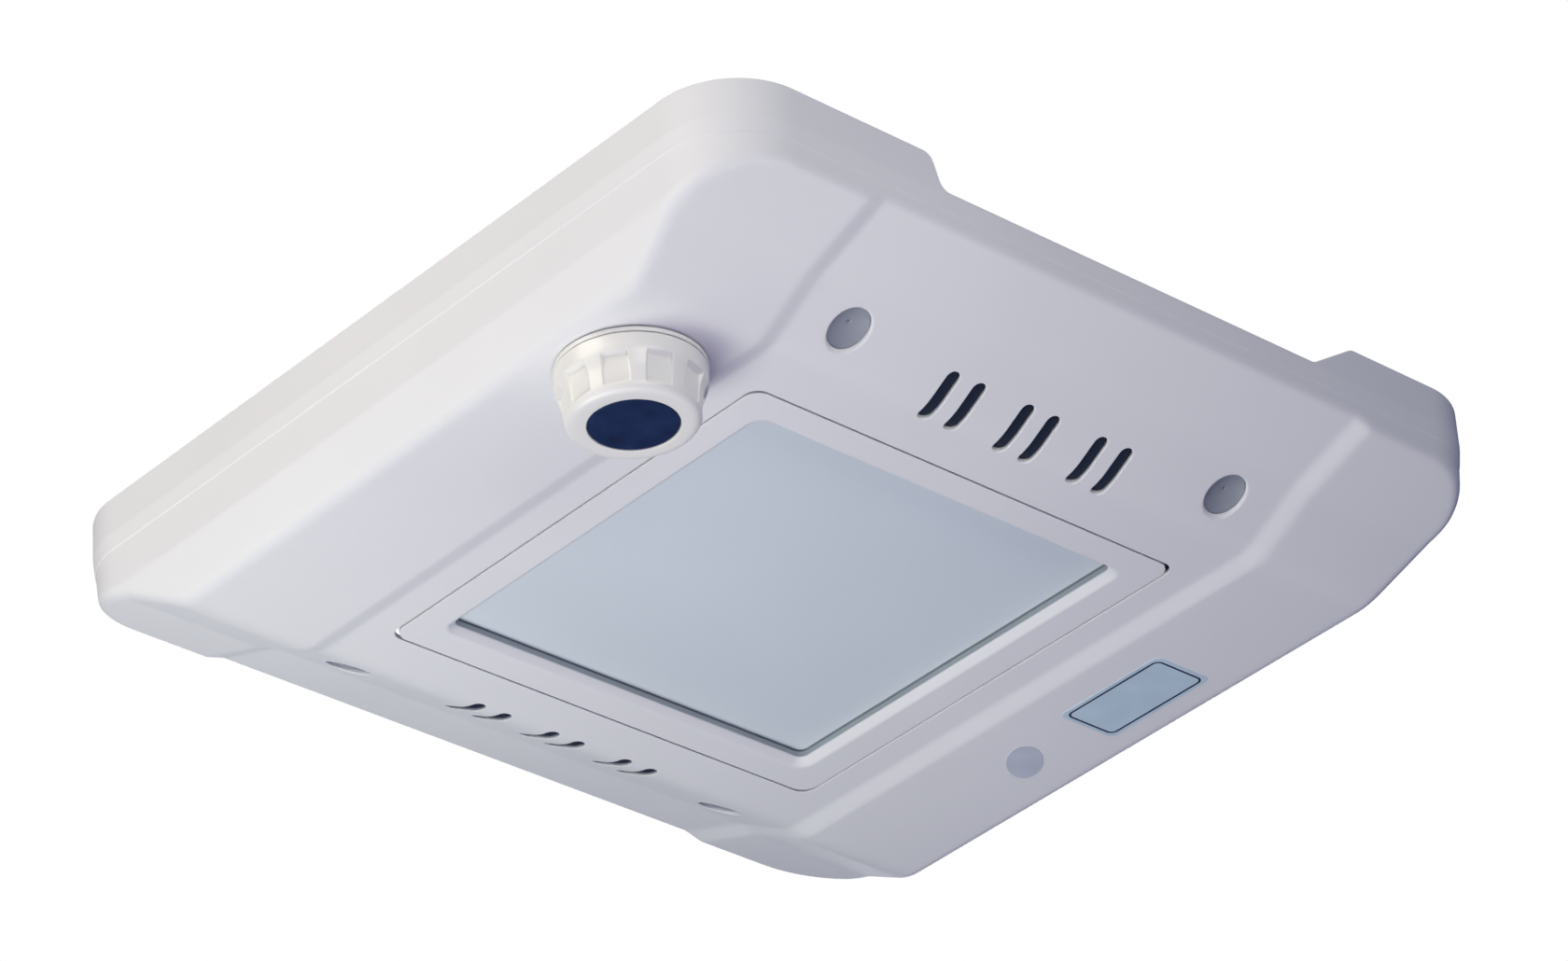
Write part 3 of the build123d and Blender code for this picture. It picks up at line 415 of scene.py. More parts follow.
# Short name: material name, colour or its name in the sidebar, roughness, size of the patches,
# their spread of tone, size of the grain, its relief, and what else is not usual
FINISHES = {
    "paint": ("powder_coat", "paint", (0.54, 0.62), 9.0, 0.012, 700.0, 0.10,
              {"depth": 0.00006, "specular": 0.25}),
    "plastic": ("white_moulding", "plastic", (0.30, 0.38), 14.0, 0.015, 1500.0, 0.05, {}),
    # plug: grey moulding, made darker and bluer still as painted shade for the shade that falls in the
    # deep screw recesses
    "plug": ("plug_moulding", (0.28, 0.30, 0.35), (0.45, 0.6), 30.0, 0.05, 1500.0, 0.06, {}),
    "pane": ("frosted_pane", "pane", (0.28, 0.40), 6.0, 0.02, 2600.0, 0.12, {"depth": 0.00003}),
    "window": ("dark_window", "window", (0.16, 0.24), 60.0, 0.3, 2000.0, 0.03, {}),
    "vents": ("vent_mesh", "vents", (0.5, 0.65), 18.0, 0.15, 900.0, 0.05, {"metal": 0.3}),
    "label": ("label_film", "label", (0.40, 0.5), 40.0, 0.05, 1200.0, 0.03, {"metal": 0.08}),
    "sticker": ("sticker_film", (0.62, 0.66, 0.74), (0.4, 0.5), 60.0, 0.05, 1200.0, 0.03,
                {"metal": 0.08}),
    "ink": ("label_ink", "ink", (0.4, 0.5), 80.0, 0.1, 1500.0, 0.02, {}),
    "zinc": ("zinc_plate", STEEL, (0.25, 0.38), 60.0, 0.06, 900.0, 0.08, {"metal": 1.0}),
    "galvanised": ("galvanised_sheet", (0.60, 0.62, 0.64), (0.35, 0.55), 45.0, 0.12, 500.0, 0.06,
                   {"metal": 1.0}),
    "spring": ("spring_steel", (0.5, 0.5, 0.5), (0.22, 0.32), 70.0, 0.05, 1200.0, 0.05,
               {"metal": 1.0, "stretch": (6.0, 1.0, 1.0)}),
    "cast": ("cast_aluminium", (0.66, 0.67, 0.68), (0.45, 0.6), 30.0, 0.06, 420.0, 0.25,
             {"depth": 0.0002, "metal": 0.9}),
    "extruded": ("driver_aluminium", (0.62, 0.63, 0.65), (0.3, 0.42), 25.0, 0.05, 900.0, 0.1,
                 {"metal": 0.9, "stretch": (8.0, 0.6, 8.0)}),
    "gasket": ("pane_gasket", (0.36, 0.40, 0.43), (0.5, 0.65), 30.0, 0.06, 900.0, 0.1, {}),
    # painted shadow: the dark colour of the thin ring that stands for the shadow line at the pane's
    # edge
    "bead": ("dark_bead", (0.21, 0.25, 0.28), (0.55, 0.7), 40.0, 0.08, 900.0, 0.1, {}),
    "seal": ("grey_silicone", (0.10, 0.11, 0.13), (0.55, 0.7), 50.0, 0.1, 800.0, 0.1, {}),
    "rubber": ("black_rubber", (0.02, 0.02, 0.021), (0.6, 0.75), 50.0, 0.15, 800.0, 0.15, {}),
    "thermal": ("thermal_pad", (0.35, 0.40, 0.46), (0.7, 0.85), 60.0, 0.1, 300.0, 0.2, {}),
    "solder_white": ("white_solder_mask", (0.82, 0.83, 0.81), (0.35, 0.45), 60.0, 0.02, 1200.0,
                     0.04, {}),
    "solder_green": ("green_solder_mask", (0.01, 0.10, 0.035), (0.28, 0.36), 150.0, 0.2, 900.0,
                     0.08, {}),
    "phosphor": ("led_phosphor", (0.85, 0.68, 0.16), (0.3, 0.4), 300.0, 0.06, 2500.0, 0.05,
                 {"coat": 0.4}),
    "reflector": ("reflector_white", (0.85, 0.86, 0.87), (0.14, 0.22), 30.0, 0.02, 900.0, 0.03, {}),
    "moulding": ("black_moulding", (0.022, 0.022, 0.025), (0.4, 0.52), 40.0, 0.12, 1300.0, 0.08, {}),
    "nickel": ("nickel_plate", (0.68, 0.66, 0.62), (0.1, 0.18), 60.0, 0.04, 1200.0, 0.02,
               {"metal": 1.0}),
    "can": ("drawn_can", (0.60, 0.59, 0.57), (0.22, 0.3), 90.0, 0.05, 1500.0, 0.05, {"metal": 1.0}),
    "brass": ("contact_brass", (0.72, 0.53, 0.22), (0.22, 0.34), 80.0, 0.08, 1200.0, 0.06,
              {"metal": 1.0}),
    "terminal": ("terminal_moulding", (0.78, 0.75, 0.66), (0.4, 0.5), 60.0, 0.03, 1300.0, 0.06, {}),
    "sheath": ("wire_sheath", (0.16, 0.165, 0.175), (0.45, 0.58), 90.0, 0.08, 1600.0, 0.08, {}),
}
WIRE_PITCH = 0.0011


@functools.cache
def finish_of(name):
    """A finish by its short name, made when it is first asked for."""
    title, colour, rough, patch, spread, grain, bump, other = FINISHES[name]
    if isinstance(colour, str):
        colour = getattr(bpy.context.scene.canopy_colours, colour)
    material = grained(title, colour, rough, patch, spread, grain, bump, **other)
    return weave(material, colour, WIRE_PITCH) if name == "vents" else material


# The shell


# The wall's straight bands: depths below the ceiling, and how far each lies inside the rim
BAND_DEPTHS = (0.0212, 0.0236, 0.0302, 0.0306)
BAND_INSETS = (0.0, 0.00025, 0.00105, 0.00140)
CREASE_DEPTH = 0.053
CREASE_INSET = 0.0033
CREASE_REACH = 0.001
# Half lengths of the soft bends of the underside
BEND_REACH = 0.0077
KNEE_REACH = 0.0016
STEP_REACH = 0.0019


def wall_inset(depth, inset):
    """How far the wall lies inside the rim at a depth below the ceiling.

    Straight bands with a lip and a ledge between them; below the ledge two drafts meet in a
    soft crease: last band + draft * (depth - start) + change of draft * soft ramp.
    """
    s = shell_sizes()
    start, last = BAND_DEPTHS[-1], BAND_INSETS[-1]
    draft = (CREASE_INSET - last) / (CREASE_DEPTH - start)
    foot = (s.half - s.panel_half - CREASE_INSET) / (s.height - CREASE_DEPTH)
    bands = np.interp(depth, BAND_DEPTHS, BAND_INSETS)
    bend = soft_ramp(depth - CREASE_DEPTH, CREASE_REACH)
    low = last + draft * (depth - start) + (foot - draft) * bend
    return np.where(depth < start, bands, low) + inset


def floor_rise(x, y):
    """Height of the shell's underside above the face round the door.

    Two soft ramps along Y lift the ends, and two along X make the step down to each side panel.
    """
    s = shell_sizes()
    slope = s.knee_rise / (s.knee_y - s.bend_y)
    flatter = (s.end_rise - s.knee_rise) / (s.end_y - s.knee_y)
    lift = slope * soft_ramp(np.abs(y) - s.bend_y, BEND_REACH)
    lift = lift + (flatter - slope) * soft_ramp(np.abs(y) - s.knee_y, KNEE_REACH)
    fall = s.panel_drop / s.step_width
    step = soft_ramp(np.abs(x) - s.recess_half, STEP_REACH)
    step = step - soft_ramp(np.abs(x) - s.recess_half - s.step_width, STEP_REACH)
    return lift - fall * step


def filleted_fall(d, half, depth, radius):
    """Fall from zero to depth along d, a straight slope from -half to half with an arc at each end.

    Arc: radius - sqrt(radius^2 - run^2), where run is measured from where the arc starts.
    """
    steep = math.atan2(depth, 2 * half)
    reach = radius * math.tan(steep / 2)

    def arc(run):
        return radius - np.sqrt(radius ** 2 - np.clip(run, 0, radius * math.sin(steep)) ** 2)

    fall = depth * (d + half) / (2 * half)
    tangent = half - reach * math.cos(steep)
    fall = np.where(d < -tangent, arc(d + half + reach), fall)
    return np.where(d > tangent, depth - arc(half + reach - d), fall)


def notch(x, y):
    """Depth of the rim's notch: a steep fall at one end and a long ramp back at the other."""
    s = shell_sizes()
    along = np.where(y < 0, x, -x)
    down = filleted_fall(along + s.notch_steep, s.notch_steep_half, s.notch_depth, s.notch_radius)
    back = filleted_fall(along - s.notch_ramp, s.notch_ramp_half, s.notch_depth, s.notch_radius)
    return np.where(np.abs(y) > np.abs(x), down - back, 0.0)


# Where the columns of the ends and sides and the rings of the underside change their spacing
END_STOPS = (-0.216, -0.142, -0.132, -0.130, -0.121, -0.119, -0.106, -0.075, 0.075, 0.106, 0.119,
             0.132, 0.142, 0.216)
END_GAPS = (0.0016, 0.0024, 0.0010, 0.0006, 0.0010, 0.0024, 0.0040, 0.0026, 0.0040, 0.0024, 0.0012,
            0.0024, 0.0016)
SIDE_STOPS = (-0.216, -0.145, -0.090, 0.090, 0.145, 0.216)
SIDE_GAPS = (0.0027, 0.0034, 0.0100, 0.0034, 0.0027)
FLOOR_STOPS = (0, 0.02, 0.152, 0.197, 0.258, 0.303, 1)
FLOOR_GAPS = (0.01, 0.0222, 0.009, 0.0222, 0.009, 0.0222)
CORNER_STEPS = 23
STRAIGHT = 0.08
EDGE_GUESS = 0.01
EDGE_TRIES = 25


class ShellGrid:
    """Columns and rings of the shell, with the edge where its underside meets its wall."""

    def __init__(self):
        s, d = shell_sizes(), door_sizes()
        self.reach = s.half - s.corner
        ends, sides = graded(END_STOPS, END_GAPS), graded(SIDE_STOPS, SIDE_GAPS)
        bend = np.linspace(0, np.pi / 2, CORNER_STEPS + 1)[1:-1]
        self.places, self.normals = frame_columns([ends / self.reach, sides / self.reach], bend)
        self.opening = d.half + d.gap
        self.opening_corner = d.corner - d.gap
        self.count = len(self.places)
        self.fractions = graded(FLOOR_STOPS, FLOOR_GAPS)
        self.level = face_level()

    def at(self, half, corner):
        """Plan places of every column on a rounded square, with one half side or one per column.

        Columns run straight along Y or X near the middle of each side, and fan out beyond that:
        centre = straight + (place - straight) * (half - corner - straight) / (reach - straight).
        """
        half = np.broadcast_to(half, (self.count,))
        corner = np.broadcast_to(corner, (self.count,))
        far = np.abs(self.places) * self.reach
        spread = ((half - corner - STRAIGHT) / (self.reach - STRAIGHT))[:, None]
        centre = np.minimum(far, STRAIGHT) + np.maximum(far - STRAIGHT, 0) * spread
        return np.sign(self.places) * centre + corner[:, None] * self.normals

    def edge(self, inset):
        """Half side and height where the underside, raised by inset, meets the wall.

        Found step by step: each height gives a half side, which gives the next height.
        """
        s = shell_sizes()
        z = np.full(self.count, self.level + EDGE_GUESS)
        for _ in range(EDGE_TRIES):
            half = s.half - wall_inset(-z, inset)
            xy = self.at(half, half - self.reach)
            z = self.level + inset + floor_rise(xy[:, 0], xy[:, 1])
        return half, z

    def floor(self, fraction, half, raised):
        """Ring of the underside at a fraction of the way from the opening to half."""
        a = self.opening + (half - self.opening) * fraction
        r = self.opening_corner + (half - self.reach - self.opening_corner) * fraction
        xy = self.at(a, r)
        z = self.level + raised + floor_rise(xy[:, 0], xy[:, 1])
        return np.column_stack([xy, z])

    def wall(self, depth, inset):
        """Ring of the wall at a depth below the ceiling, which may differ from column to column."""
        depth = np.broadcast_to(depth, (self.count,))
        half = shell_sizes().half - wall_inset(depth, inset)
        return np.column_stack([self.at(half, half - self.reach), -depth])

    def rim(self, depth, inset):
        """Ring near the rim, straight below it, drawn in by inset."""
        s = shell_sizes()
        depth = np.broadcast_to(depth, (self.count,))
        return np.column_stack([self.at(s.half - inset, s.corner - inset), -depth])


# Rings of the wall as shares of the way from its foot to the ledge, then as depths of the
# bands, then as shares of the way from the last of these to the rim
DOWN_SHARES = (0.02, 0.1, 0.2, 0.3, 0.4, 0.45, 0.474, 0.487, 0.5, 0.52, 0.6, 0.7, 0.8, 0.9, 1.0)
LEDGE_DEPTH = 0.0312
BAND_RINGS = (0.0308, 0.0306, 0.0304, 0.0302, 0.03, 0.0285, 0.0262, 0.0242, 0.0236, 0.0224, 0.0212,
              0.0208)
RIM_SHARES = (0.2, 0.4, 0.6, 0.8, 0.93, 0.985, 1.0)
INNER_BAND = 0.034
OPENING_LIP = 0.0003
RIM_ROUND = 0.0008


def shell_rings(g):
    """All rings of the shell: underside, soft edge, wall, rim, inside wall and inside floor.

    Returns them with the number of rings of the outer and the list of rings of the inner floor.
    """
    s = shell_sizes()
    half, z_edge = g.edge(0.0)
    toward_x = np.abs(g.normals[:, 0])
    blend = s.end_blend + (s.panel_blend - s.end_blend) * toward_x
    floor_half = half - blend
    outer = [g.floor(f, floor_half, 0.0) for f in g.fractions]
    opening = []
    for turn in np.linspace(0, np.pi / 2, 4):
        spread = OPENING_LIP * (1 - math.sin(turn))
        ring = g.at(g.opening + spread, g.opening_corner + spread)
        level = np.full(g.count, g.level + OPENING_LIP * (1 - math.cos(turn)))
        opening.append(np.column_stack([ring, level]))
    top = np.column_stack([g.at(g.opening, g.opening_corner), np.full(g.count, g.level + s.wall)])
    outer[0] = opening[0]

    start, end = outer[-1], g.wall(-z_edge - blend, 0.0)
    corner = np.column_stack([g.at(half, half - g.reach), z_edge])
    edge = [(1 - t) ** 2 * start + 2 * t * (1 - t) * corner + t ** 2 * end
            for t in np.linspace(0, 1, 9)[1:]]

    foot = -end[:, 2]
    rim_xy = g.at(s.half, s.corner)
    rim = s.rim_gap + notch(rim_xy[:, 0], rim_xy[:, 1])
    last = BAND_RINGS[-1]
    depths = [foot + (LEDGE_DEPTH - foot) * v for v in DOWN_SHARES]
    depths += BAND_RINGS
    depths += [last + (rim + RIM_ROUND - last) * v for v in RIM_SHARES]
    walls = [g.wall(depth, 0.0) for depth in depths]
    for turn in np.linspace(0, np.pi / 2, 4)[1:]:
        walls.append(g.rim(rim + RIM_ROUND * (1 - math.sin(turn)), RIM_ROUND * (1 - math.cos(turn))))
    for turn in np.linspace(np.pi / 2, 0, 4):
        back = s.wall - RIM_ROUND * (1 - math.cos(turn))
        walls.append(g.rim(rim + RIM_ROUND * (1 - math.sin(turn)), back))

    inner_foot = -g.edge(s.wall)[1]
    inside = [g.rim(rim + RIM_ROUND + (INNER_BAND - rim - RIM_ROUND) * v, s.wall)
              for v in (0.33, 0.66)]
    inside += [g.wall(INNER_BAND + (inner_foot - INNER_BAND) * v, s.wall)
               for v in np.linspace(0, 1, 6)]
    keep = [j for j in range(len(g.fractions) - 1, -1, -1) if j >= 10 or j % 4 == 0]
    inner = [g.floor(g.fractions[j], floor_half, s.wall) for j in keep]
    inner[-1] = top
    rings = outer + edge + walls + inside + inner + opening[::-1][:-1]
    inner_index = np.full(len(g.fractions), -1)
    inner_index[keep] = len(outer + edge + walls + inside) + np.arange(len(keep))
    return np.stack(rings), len(outer), inner_index


def hole_patch(g, rings, columns, rows, inner_index, core, half_core, radius, lip, make_inside):
    """Rings of faces round one hole, from the grid's own edge to the hole's rounded lip.

    Each point goes to the nearest point of the hole's core line plus the radius. The lip is a
    quarter round, and the wall behind it goes to the inner surface.
    """
    i0, i1 = columns
    j0, j1 = rows
    i = np.concatenate([np.arange(i0, i1), np.full(j1 - j0, i1), np.arange(i1, i0, -1),
                        np.full(j1 - j0, i0)])
    j = np.concatenate([np.full(i1 - i0, j0), np.arange(j0, j1), np.full(i1 - i0, j1),
                        np.arange(j1, j0, -1)])
    border = rings[j, i]
    inner = rings[inner_index[j], i]
    nearest = np.column_stack([np.full(len(border), core[0]),
                               np.clip(border[:, 1], core[1] - half_core, core[1] + half_core)])
    away = border[:, :2] - nearest
    away /= np.linalg.norm(away, axis=1)[:, None]

    def on_floor(xy, raised):
        return np.column_stack([xy, g.level + raised + floor_rise(xy[:, 0], xy[:, 1])])

    start = nearest + away * (radius + lip)
    loops = [border]
    for f in (0.35, 0.7, 0.9):
        loops.append(on_floor(border[:, :2] + (start - border[:, :2]) * f, 0.0))
    for turn in np.linspace(0, np.pi / 2, 6):
        xy = nearest + away * (radius + lip * (1 - math.sin(turn)))
        loops.append(on_floor(xy, lip * (1 - math.cos(turn))))
    loops += make_inside(nearest, away, radius, inner, on_floor)
    return skin(np.stack(loops + [inner]))


def through_wall(nearest, away, radius, inner, on_floor):
    """A plain hole: its wall ends at the inner surface."""
    s = shell_sizes()
    hole = nearest + away * radius
    return [on_floor(hole, s.wall), on_floor(hole + (inner[:, :2] - hole) * 0.5, s.wall)]


# Half width and half length of the patch that a hole takes out of the grid
SLOT_PATCH = (0.0072, 0.0175)
SCREW_PATCH = (0.0155, 0.0155)
SENSOR_PATCH = (0.023, 0.023)
SENSOR_HOLE = 0.0175
SENSOR_HOLE_LIP = 0.0003
# The screw's seat: its height above the face, its thickness, its hole and the wall round it
SEAT_RISE = 0.026
SEAT_THICKNESS = 0.003
SEAT_HOLE = 0.00275
CUP_WALL = 0.0025


def screw_cup(nearest, away, radius, inner, on_floor):
    """A screw recess: its wall ends at a flat seat with a hole, inside a cup that stands up."""
    seat = face_level() + SEAT_RISE
    top = seat + SEAT_THICKNESS
    loops = []
    for out, z in ((radius, seat), (SEAT_HOLE, seat), (SEAT_HOLE, top), (radius + CUP_WALL, top)):
        loops.append(np.column_stack([nearest + away * out, np.full(len(nearest), z)]))
    return loops + [on_floor(nearest + away * (radius + CUP_WALL), shell_sizes().wall + 0.0004)]


def hole_places():
    """Every hole of the underside as (core, half core, radius, lip, half of its patch, inside)."""
    s = shell_sizes()
    slot = (s.slot_length - s.slot_width) / 2, s.slot_width / 2, s.slot_lip, SLOT_PATCH, through_wall
    screw = 0.0, s.recess_radius, s.recess_lip, SCREW_PATCH, screw_cup
    places = [((pair * s.slot_pitch + half * s.slot_spacing, side * s.slot_y), *slot)
              for side in (-1, 1) for pair in (-1, 0, 1) for half in (-0.5, 0.5)]
    places += [((x, y), *screw) for x in (-s.recess_x, s.recess_x) for y in (-s.recess_y, s.recess_y)]
    return places + [(SENSOR, 0.0, SENSOR_HOLE, SENSOR_HOLE_LIP, SENSOR_PATCH, through_wall)]


def make_shell():
    """The shell as one closed surface: rings of columns, with a patch in place of each hole."""
    g = ShellGrid()
    rings, outer_count, inner_index = shell_rings(g)
    rows, cols = rings.shape[:2]
    keep = np.ones((rows, cols), bool)
    patches = []
    plan = rings[:outer_count, :, :2]
    for core, half_core, radius, lip, patch, inside in hole_places():
        js, cs = np.nonzero((np.abs(plan - core) < patch).all(-1))
        i0, i1, j0, j1 = cs.min(), cs.max(), js.min(), js.max()
        keep[j0:j1, i0:i1] = False
        keep[inner_index[j1]:inner_index[j0], i0:i1] = False
        patches.append(hole_patch(g, rings, (i0, i1), (j0, j1), inner_index, core, half_core,
                                  radius, lip, inside))
    faces = grid_faces(rows, cols, ring=True).reshape(rows, cols, 4)[keep]
    return put_mesh("shell_body", [(rings, faces)] + patches)


# Each kind of boss: its foot and top above the face, and its radius
SINK_BOSS = (0.001, 0.0261, 0.005)
HINGE_BOSS = (0.001, 0.0065, 0.0045)
PANEL_BOSS = (-0.002, 0.004, 0.0045)
PANEL_BOSSES = ((0.207, -0.124), (0.207, 0.074), (0.181, 0.118), (0.233, 0.118), (-0.206, 0.02),
                (-0.206, 0.1))
BOSS_HOLE = 0.0015
BOSS_HOLE_DEPTH = 0.0035


def make_bosses():
    """The round bosses that stand on the inside of the shell, each a turned stub with a hole."""
    level = face_level()
    bosses = [(x, y, *SINK_BOSS) for x in (-0.15, 0.15) for y in (-0.07, 0.07)]
    bosses += [(x + offset, 0.158, *HINGE_BOSS) for x in HINGES_X for offset in (-0.015, 0.015)]
    bosses += [(x, y, *PANEL_BOSS) for x, y in PANEL_BOSSES]
    parts = []
    for x, y, foot, top, radius in bosses:
        low, high = level + foot, level + top
        profile = rounded([(0, low), (radius, low), (radius, high), (BOSS_HOLE, high),
                           (BOSS_HOLE, high - BOSS_HOLE_DEPTH), (0, high - BOSS_HOLE_DEPTH)],
                          [0, 0, 0.0005, 0.0003, 0, 0], 3, closed=False)
        parts.append(skin(turned_points(profile[:, 0], profile[:, 1], 28, (x, y))))
    return put_mesh("shell_bosses", parts)


class CANOPY_OT_shell(bpy.types.Operator):
    """Make the white shell with its vents, screw recesses and notches"""

    bl_idname = "canopy.shell"
    bl_label = "Shell"

    def execute(self, context):
        stand_for(make_shell(), "housing", "paint", "housing_shell")
        stand_for(make_bosses(), "housing", "paint", "housing_shell")
        return {"FINISHED"}


# The door


def square_columns(side=14, bend=10):
    """Columns of a plain rounded square."""
    return frame_columns([np.linspace(-1, 1, side)], np.linspace(0, np.pi / 2, bend + 2)[1:-1])


def box_mesh(x, y, z, soft=0.0006, steps=3):
    """Box between two places on each axis, with rounded edges, as rings of a rounded rectangle."""
    half_x, half_y = (x[1] - x[0]) / 2, (y[1] - y[0]) / 2
    t = np.linspace(0, np.pi / 2, steps + 1)
    inset = np.concatenate([soft * (1 - np.sin(t)), soft * (1 - np.cos(t))])
    level = np.concatenate([z[0] + soft * (1 - np.cos(t)), z[1] - soft * (1 - np.sin(t))])
    p = ring_points(square_columns(3, 3), half_x - inset, half_y - inset,
                    np.maximum(soft - inset, 1e-5), level)
    foot, top = [np.tile([0.0, 0.0, end], (1, p.shape[1], 1)) for end in z]
    p = np.concatenate([foot, p, top])
    p[..., :2] += [(x[0] + x[1]) / 2, (y[0] + y[1]) / 2]
    return skin(p)


# The door's pads: middle along X and half width, and the span across from the rim outwards
STRIKES_X = (-0.06, 0.06)
HINGE_PAD = 0.015
STRIKE_PAD = 0.013
PAD_SPAN = (0.1272, 0.1378)
PAD_FOOT = 0.0008
HINGE_PAD_TOP = 0.007
STRIKE_PAD_TOP = 0.009
POCKET_CORNER = 0.004
WINDOW_CORNER = 0.005
LONG_STEP = 0.004


def make_door_frame():
    """The door's frame: one closed profile carried round the door, with pads for its fittings."""
    d = door_sizes()
    z0 = face_level()
    flange, rim, ledge = z0 + d.skin, z0 + d.rim_height, z0 + d.ledge
    rim_corner = POCKET_CORNER + 0.004
    bevel_corner = WINDOW_CORNER + d.bevel_half - d.window_half
    corners = [
        (d.half, z0, d.corner), (d.half, flange, d.corner), (d.rim_half, flange, rim_corner),
        (d.rim_half, rim, rim_corner), (d.pocket_half, rim, POCKET_CORNER),
        (d.pocket_half, ledge, POCKET_CORNER), (d.window_half, ledge, WINDOW_CORNER),
        (d.window_half, z0 + d.bevel_depth, WINDOW_CORNER), (d.bevel_half, z0, bevel_corner),
    ]
    reach = [0.0003, 0.0005, 0.0005, 0.0005, 0.0005, 0.0004, 0.00025, 0.0003, 0.0012]
    soft = rounded(corners, reach, 4)
    rows = []
    for row, after in zip(soft, np.roll(soft, -1, 0)):
        rows.append(row)
        if np.linalg.norm(after[:2] - row[:2]) > LONG_STEP:
            rows += [row + (after - row) * f for f in (0.08, 0.5, 0.92)]
    half, z, corner = np.array(rows).T
    parts = [skin(ring_points(square_columns(), half, half, corner, z), ring=True)]
    for x in HINGES_X:
        parts.append(box_mesh((x - HINGE_PAD, x + HINGE_PAD), PAD_SPAN,
                              (z0 + PAD_FOOT, z0 + HINGE_PAD_TOP)))
    for x in STRIKES_X:
        parts.append(box_mesh((x - STRIKE_PAD, x + STRIKE_PAD), (-PAD_SPAN[1], -PAD_SPAN[0]),
                              (z0 + PAD_FOOT, z0 + STRIKE_PAD_TOP)))
    return put_mesh("door_frame", parts)


def slab(name, half, corner, low, high, soft):
    """Closed slab on a rounded square with a soft edge above and below."""
    profile = rounded([(0, low), (half, low), (half, high), (0, high)], [0, soft, soft, 0], 3,
                      closed=False)
    a = np.maximum(profile[:, 0], 0)
    a = np.insert(a, [1, len(a) - 1], [half * 0.97, half * 0.97])
    z = np.insert(profile[:, 1], [1, len(profile) - 1], [low, high])
    r = np.clip(corner - (half - a), 0, corner)
    return put_mesh(name, [skin(ring_points(square_columns(26, 8), a, a, r, z))])


# The shade ring is a thin dark ring on the pane's edge, painted shadow for the shadow line where the
# pane meets its gasket: its own width, and how far it stands in front of the gasket and of the pane's
# face
SHADE_RING_LIP = 0.0006
SHADE_RING_COVER = 0.0013
SHADE_RING_DEPTH = 0.0003


class CANOPY_OT_door(bpy.types.Operator):
    """Make the lens door: its frame, pane and gasket, and a dark ring of painted shadow at the pane's
    edge
    """

    bl_idname = "canopy.door"
    bl_label = "Lens door"

    def execute(self, context):
        d = door_sizes()
        stand_for(make_door_frame(), "lens_door", "paint", "lens_door_frame")
        low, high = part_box("frosted_lens")
        pane = slab("frosted_pane", high.x, 0.003, low.z, high.z, 0.0004)
        stand_for(pane, "lens_door", "pane", "frosted_lens")

        inner, foot = d.window_half + 0.0003, face_level() + d.ledge + 0.00012
        outer, back = d.pocket_half - 0.0002, high.z - 0.0004
        seat, groove = low.z + 0.0001, low.z - 0.0007
        profile = rounded([
            (inner, foot, WINDOW_CORNER), (outer, foot, POCKET_CORNER),
            (outer, back, POCKET_CORNER), (high.x + 0.0002, back, 0.0033),
            (high.x + 0.0002, seat, 0.0033), (inner + 0.0014, seat, WINDOW_CORNER),
            (inner + 0.0014, groove, WINDOW_CORNER), (inner, groove, WINDOW_CORNER),
        ], [0.0002] * 8, 3)
        gasket = closed_ring("pane_gasket", square_columns(), profile)
        stand_for(gasket, "lens_door", "gasket", "lens_gasket")

        # A thin dark ring laid on the pane's edge: painted shadow for the shadow line between the
        # gasket and the pane
        near, far, front = inner - SHADE_RING_LIP, inner + SHADE_RING_COVER, low.z - SHADE_RING_DEPTH
        bead = closed_ring("pane_edge_bead", square_columns(), [
            (half, z, WINDOW_CORNER)
            for half, z in ((far, front), (near, front), (near, low.z), (far, low.z))])
        stand_for(bead, "lens_door", "bead", "lens_gasket")
        return {"FINISHED"}


# Screw plugs


# The plug: how far its rim stands above the sunk face, its play in the recess, the depth of its
# bowl, the radius and depth of its pin hole, and its height
PLUG_RISE = 0.0020
PLUG_PLAY = 0.0001
BOWL_DEPTH = 0.0032
PIN_HOLE = (0.0006, 0.0055)
PLUG_TOP = 0.0228
PLUG_ROUND = 0.0004


class CANOPY_OT_plugs(bpy.types.Operator):
    """Make the dished plugs of the screw recesses"""

    bl_idname = "canopy.plugs"
    bl_label = "Screw plugs"

    def execute(self, context):
        s = shell_sizes()
        z0 = face_level()
        slope = s.knee_rise / (s.knee_y - s.bend_y)
        base = z0 + ((s.recess_y - s.bend_y) * slope + PLUG_RISE)
        radius = s.recess_radius - PLUG_PLAY
        bowl = np.linspace(0.0014, radius - 0.0002, 12)
        rows = np.concatenate([
            [(0.0, PIN_HOLE[1]), PIN_HOLE, (0.0008, 0.0036), (0.0010, 0.0033)],
            np.column_stack([bowl, BOWL_DEPTH * (1 - (bowl / radius) ** 2)]),
            [(radius, PLUG_ROUND)],
        ])
        top = z0 + PLUG_TOP
        parts = []
        for x in (-s.recess_x, s.recess_x):
            for side in (-1, 1):
                centre = x, side * s.recess_y
                dish = turned_points(*rows.T, 72, centre)
                dish[..., 2] += base + slope * (side * dish[..., 1] - s.recess_y)
                wall = turned_points([radius, radius - PLUG_ROUND, 0.0],
                                     [top - PLUG_ROUND, top, top], 72, centre)
                parts.append(skin(np.concatenate([dish, wall])))
        # The plugs' bluish grey finish is partly their own grey plastic and partly painted shade of the
        # recesses
        stand_for(put_mesh("screw_plug_caps", parts), "housing", "plug",
                  "screw_plugs")
        return {"FINISHED"}


# The sensor


# Radii of the cap from its window out to its widest ring and in again to its thin inner wall
CAP_WINDOW = 0.0224
CAP_FACE = 0.0324
CAP_SHOULDER = 0.0368
CAP_RADIUS = 0.0372
CAP_INNER = 0.0348
CAP_BORE = 0.029
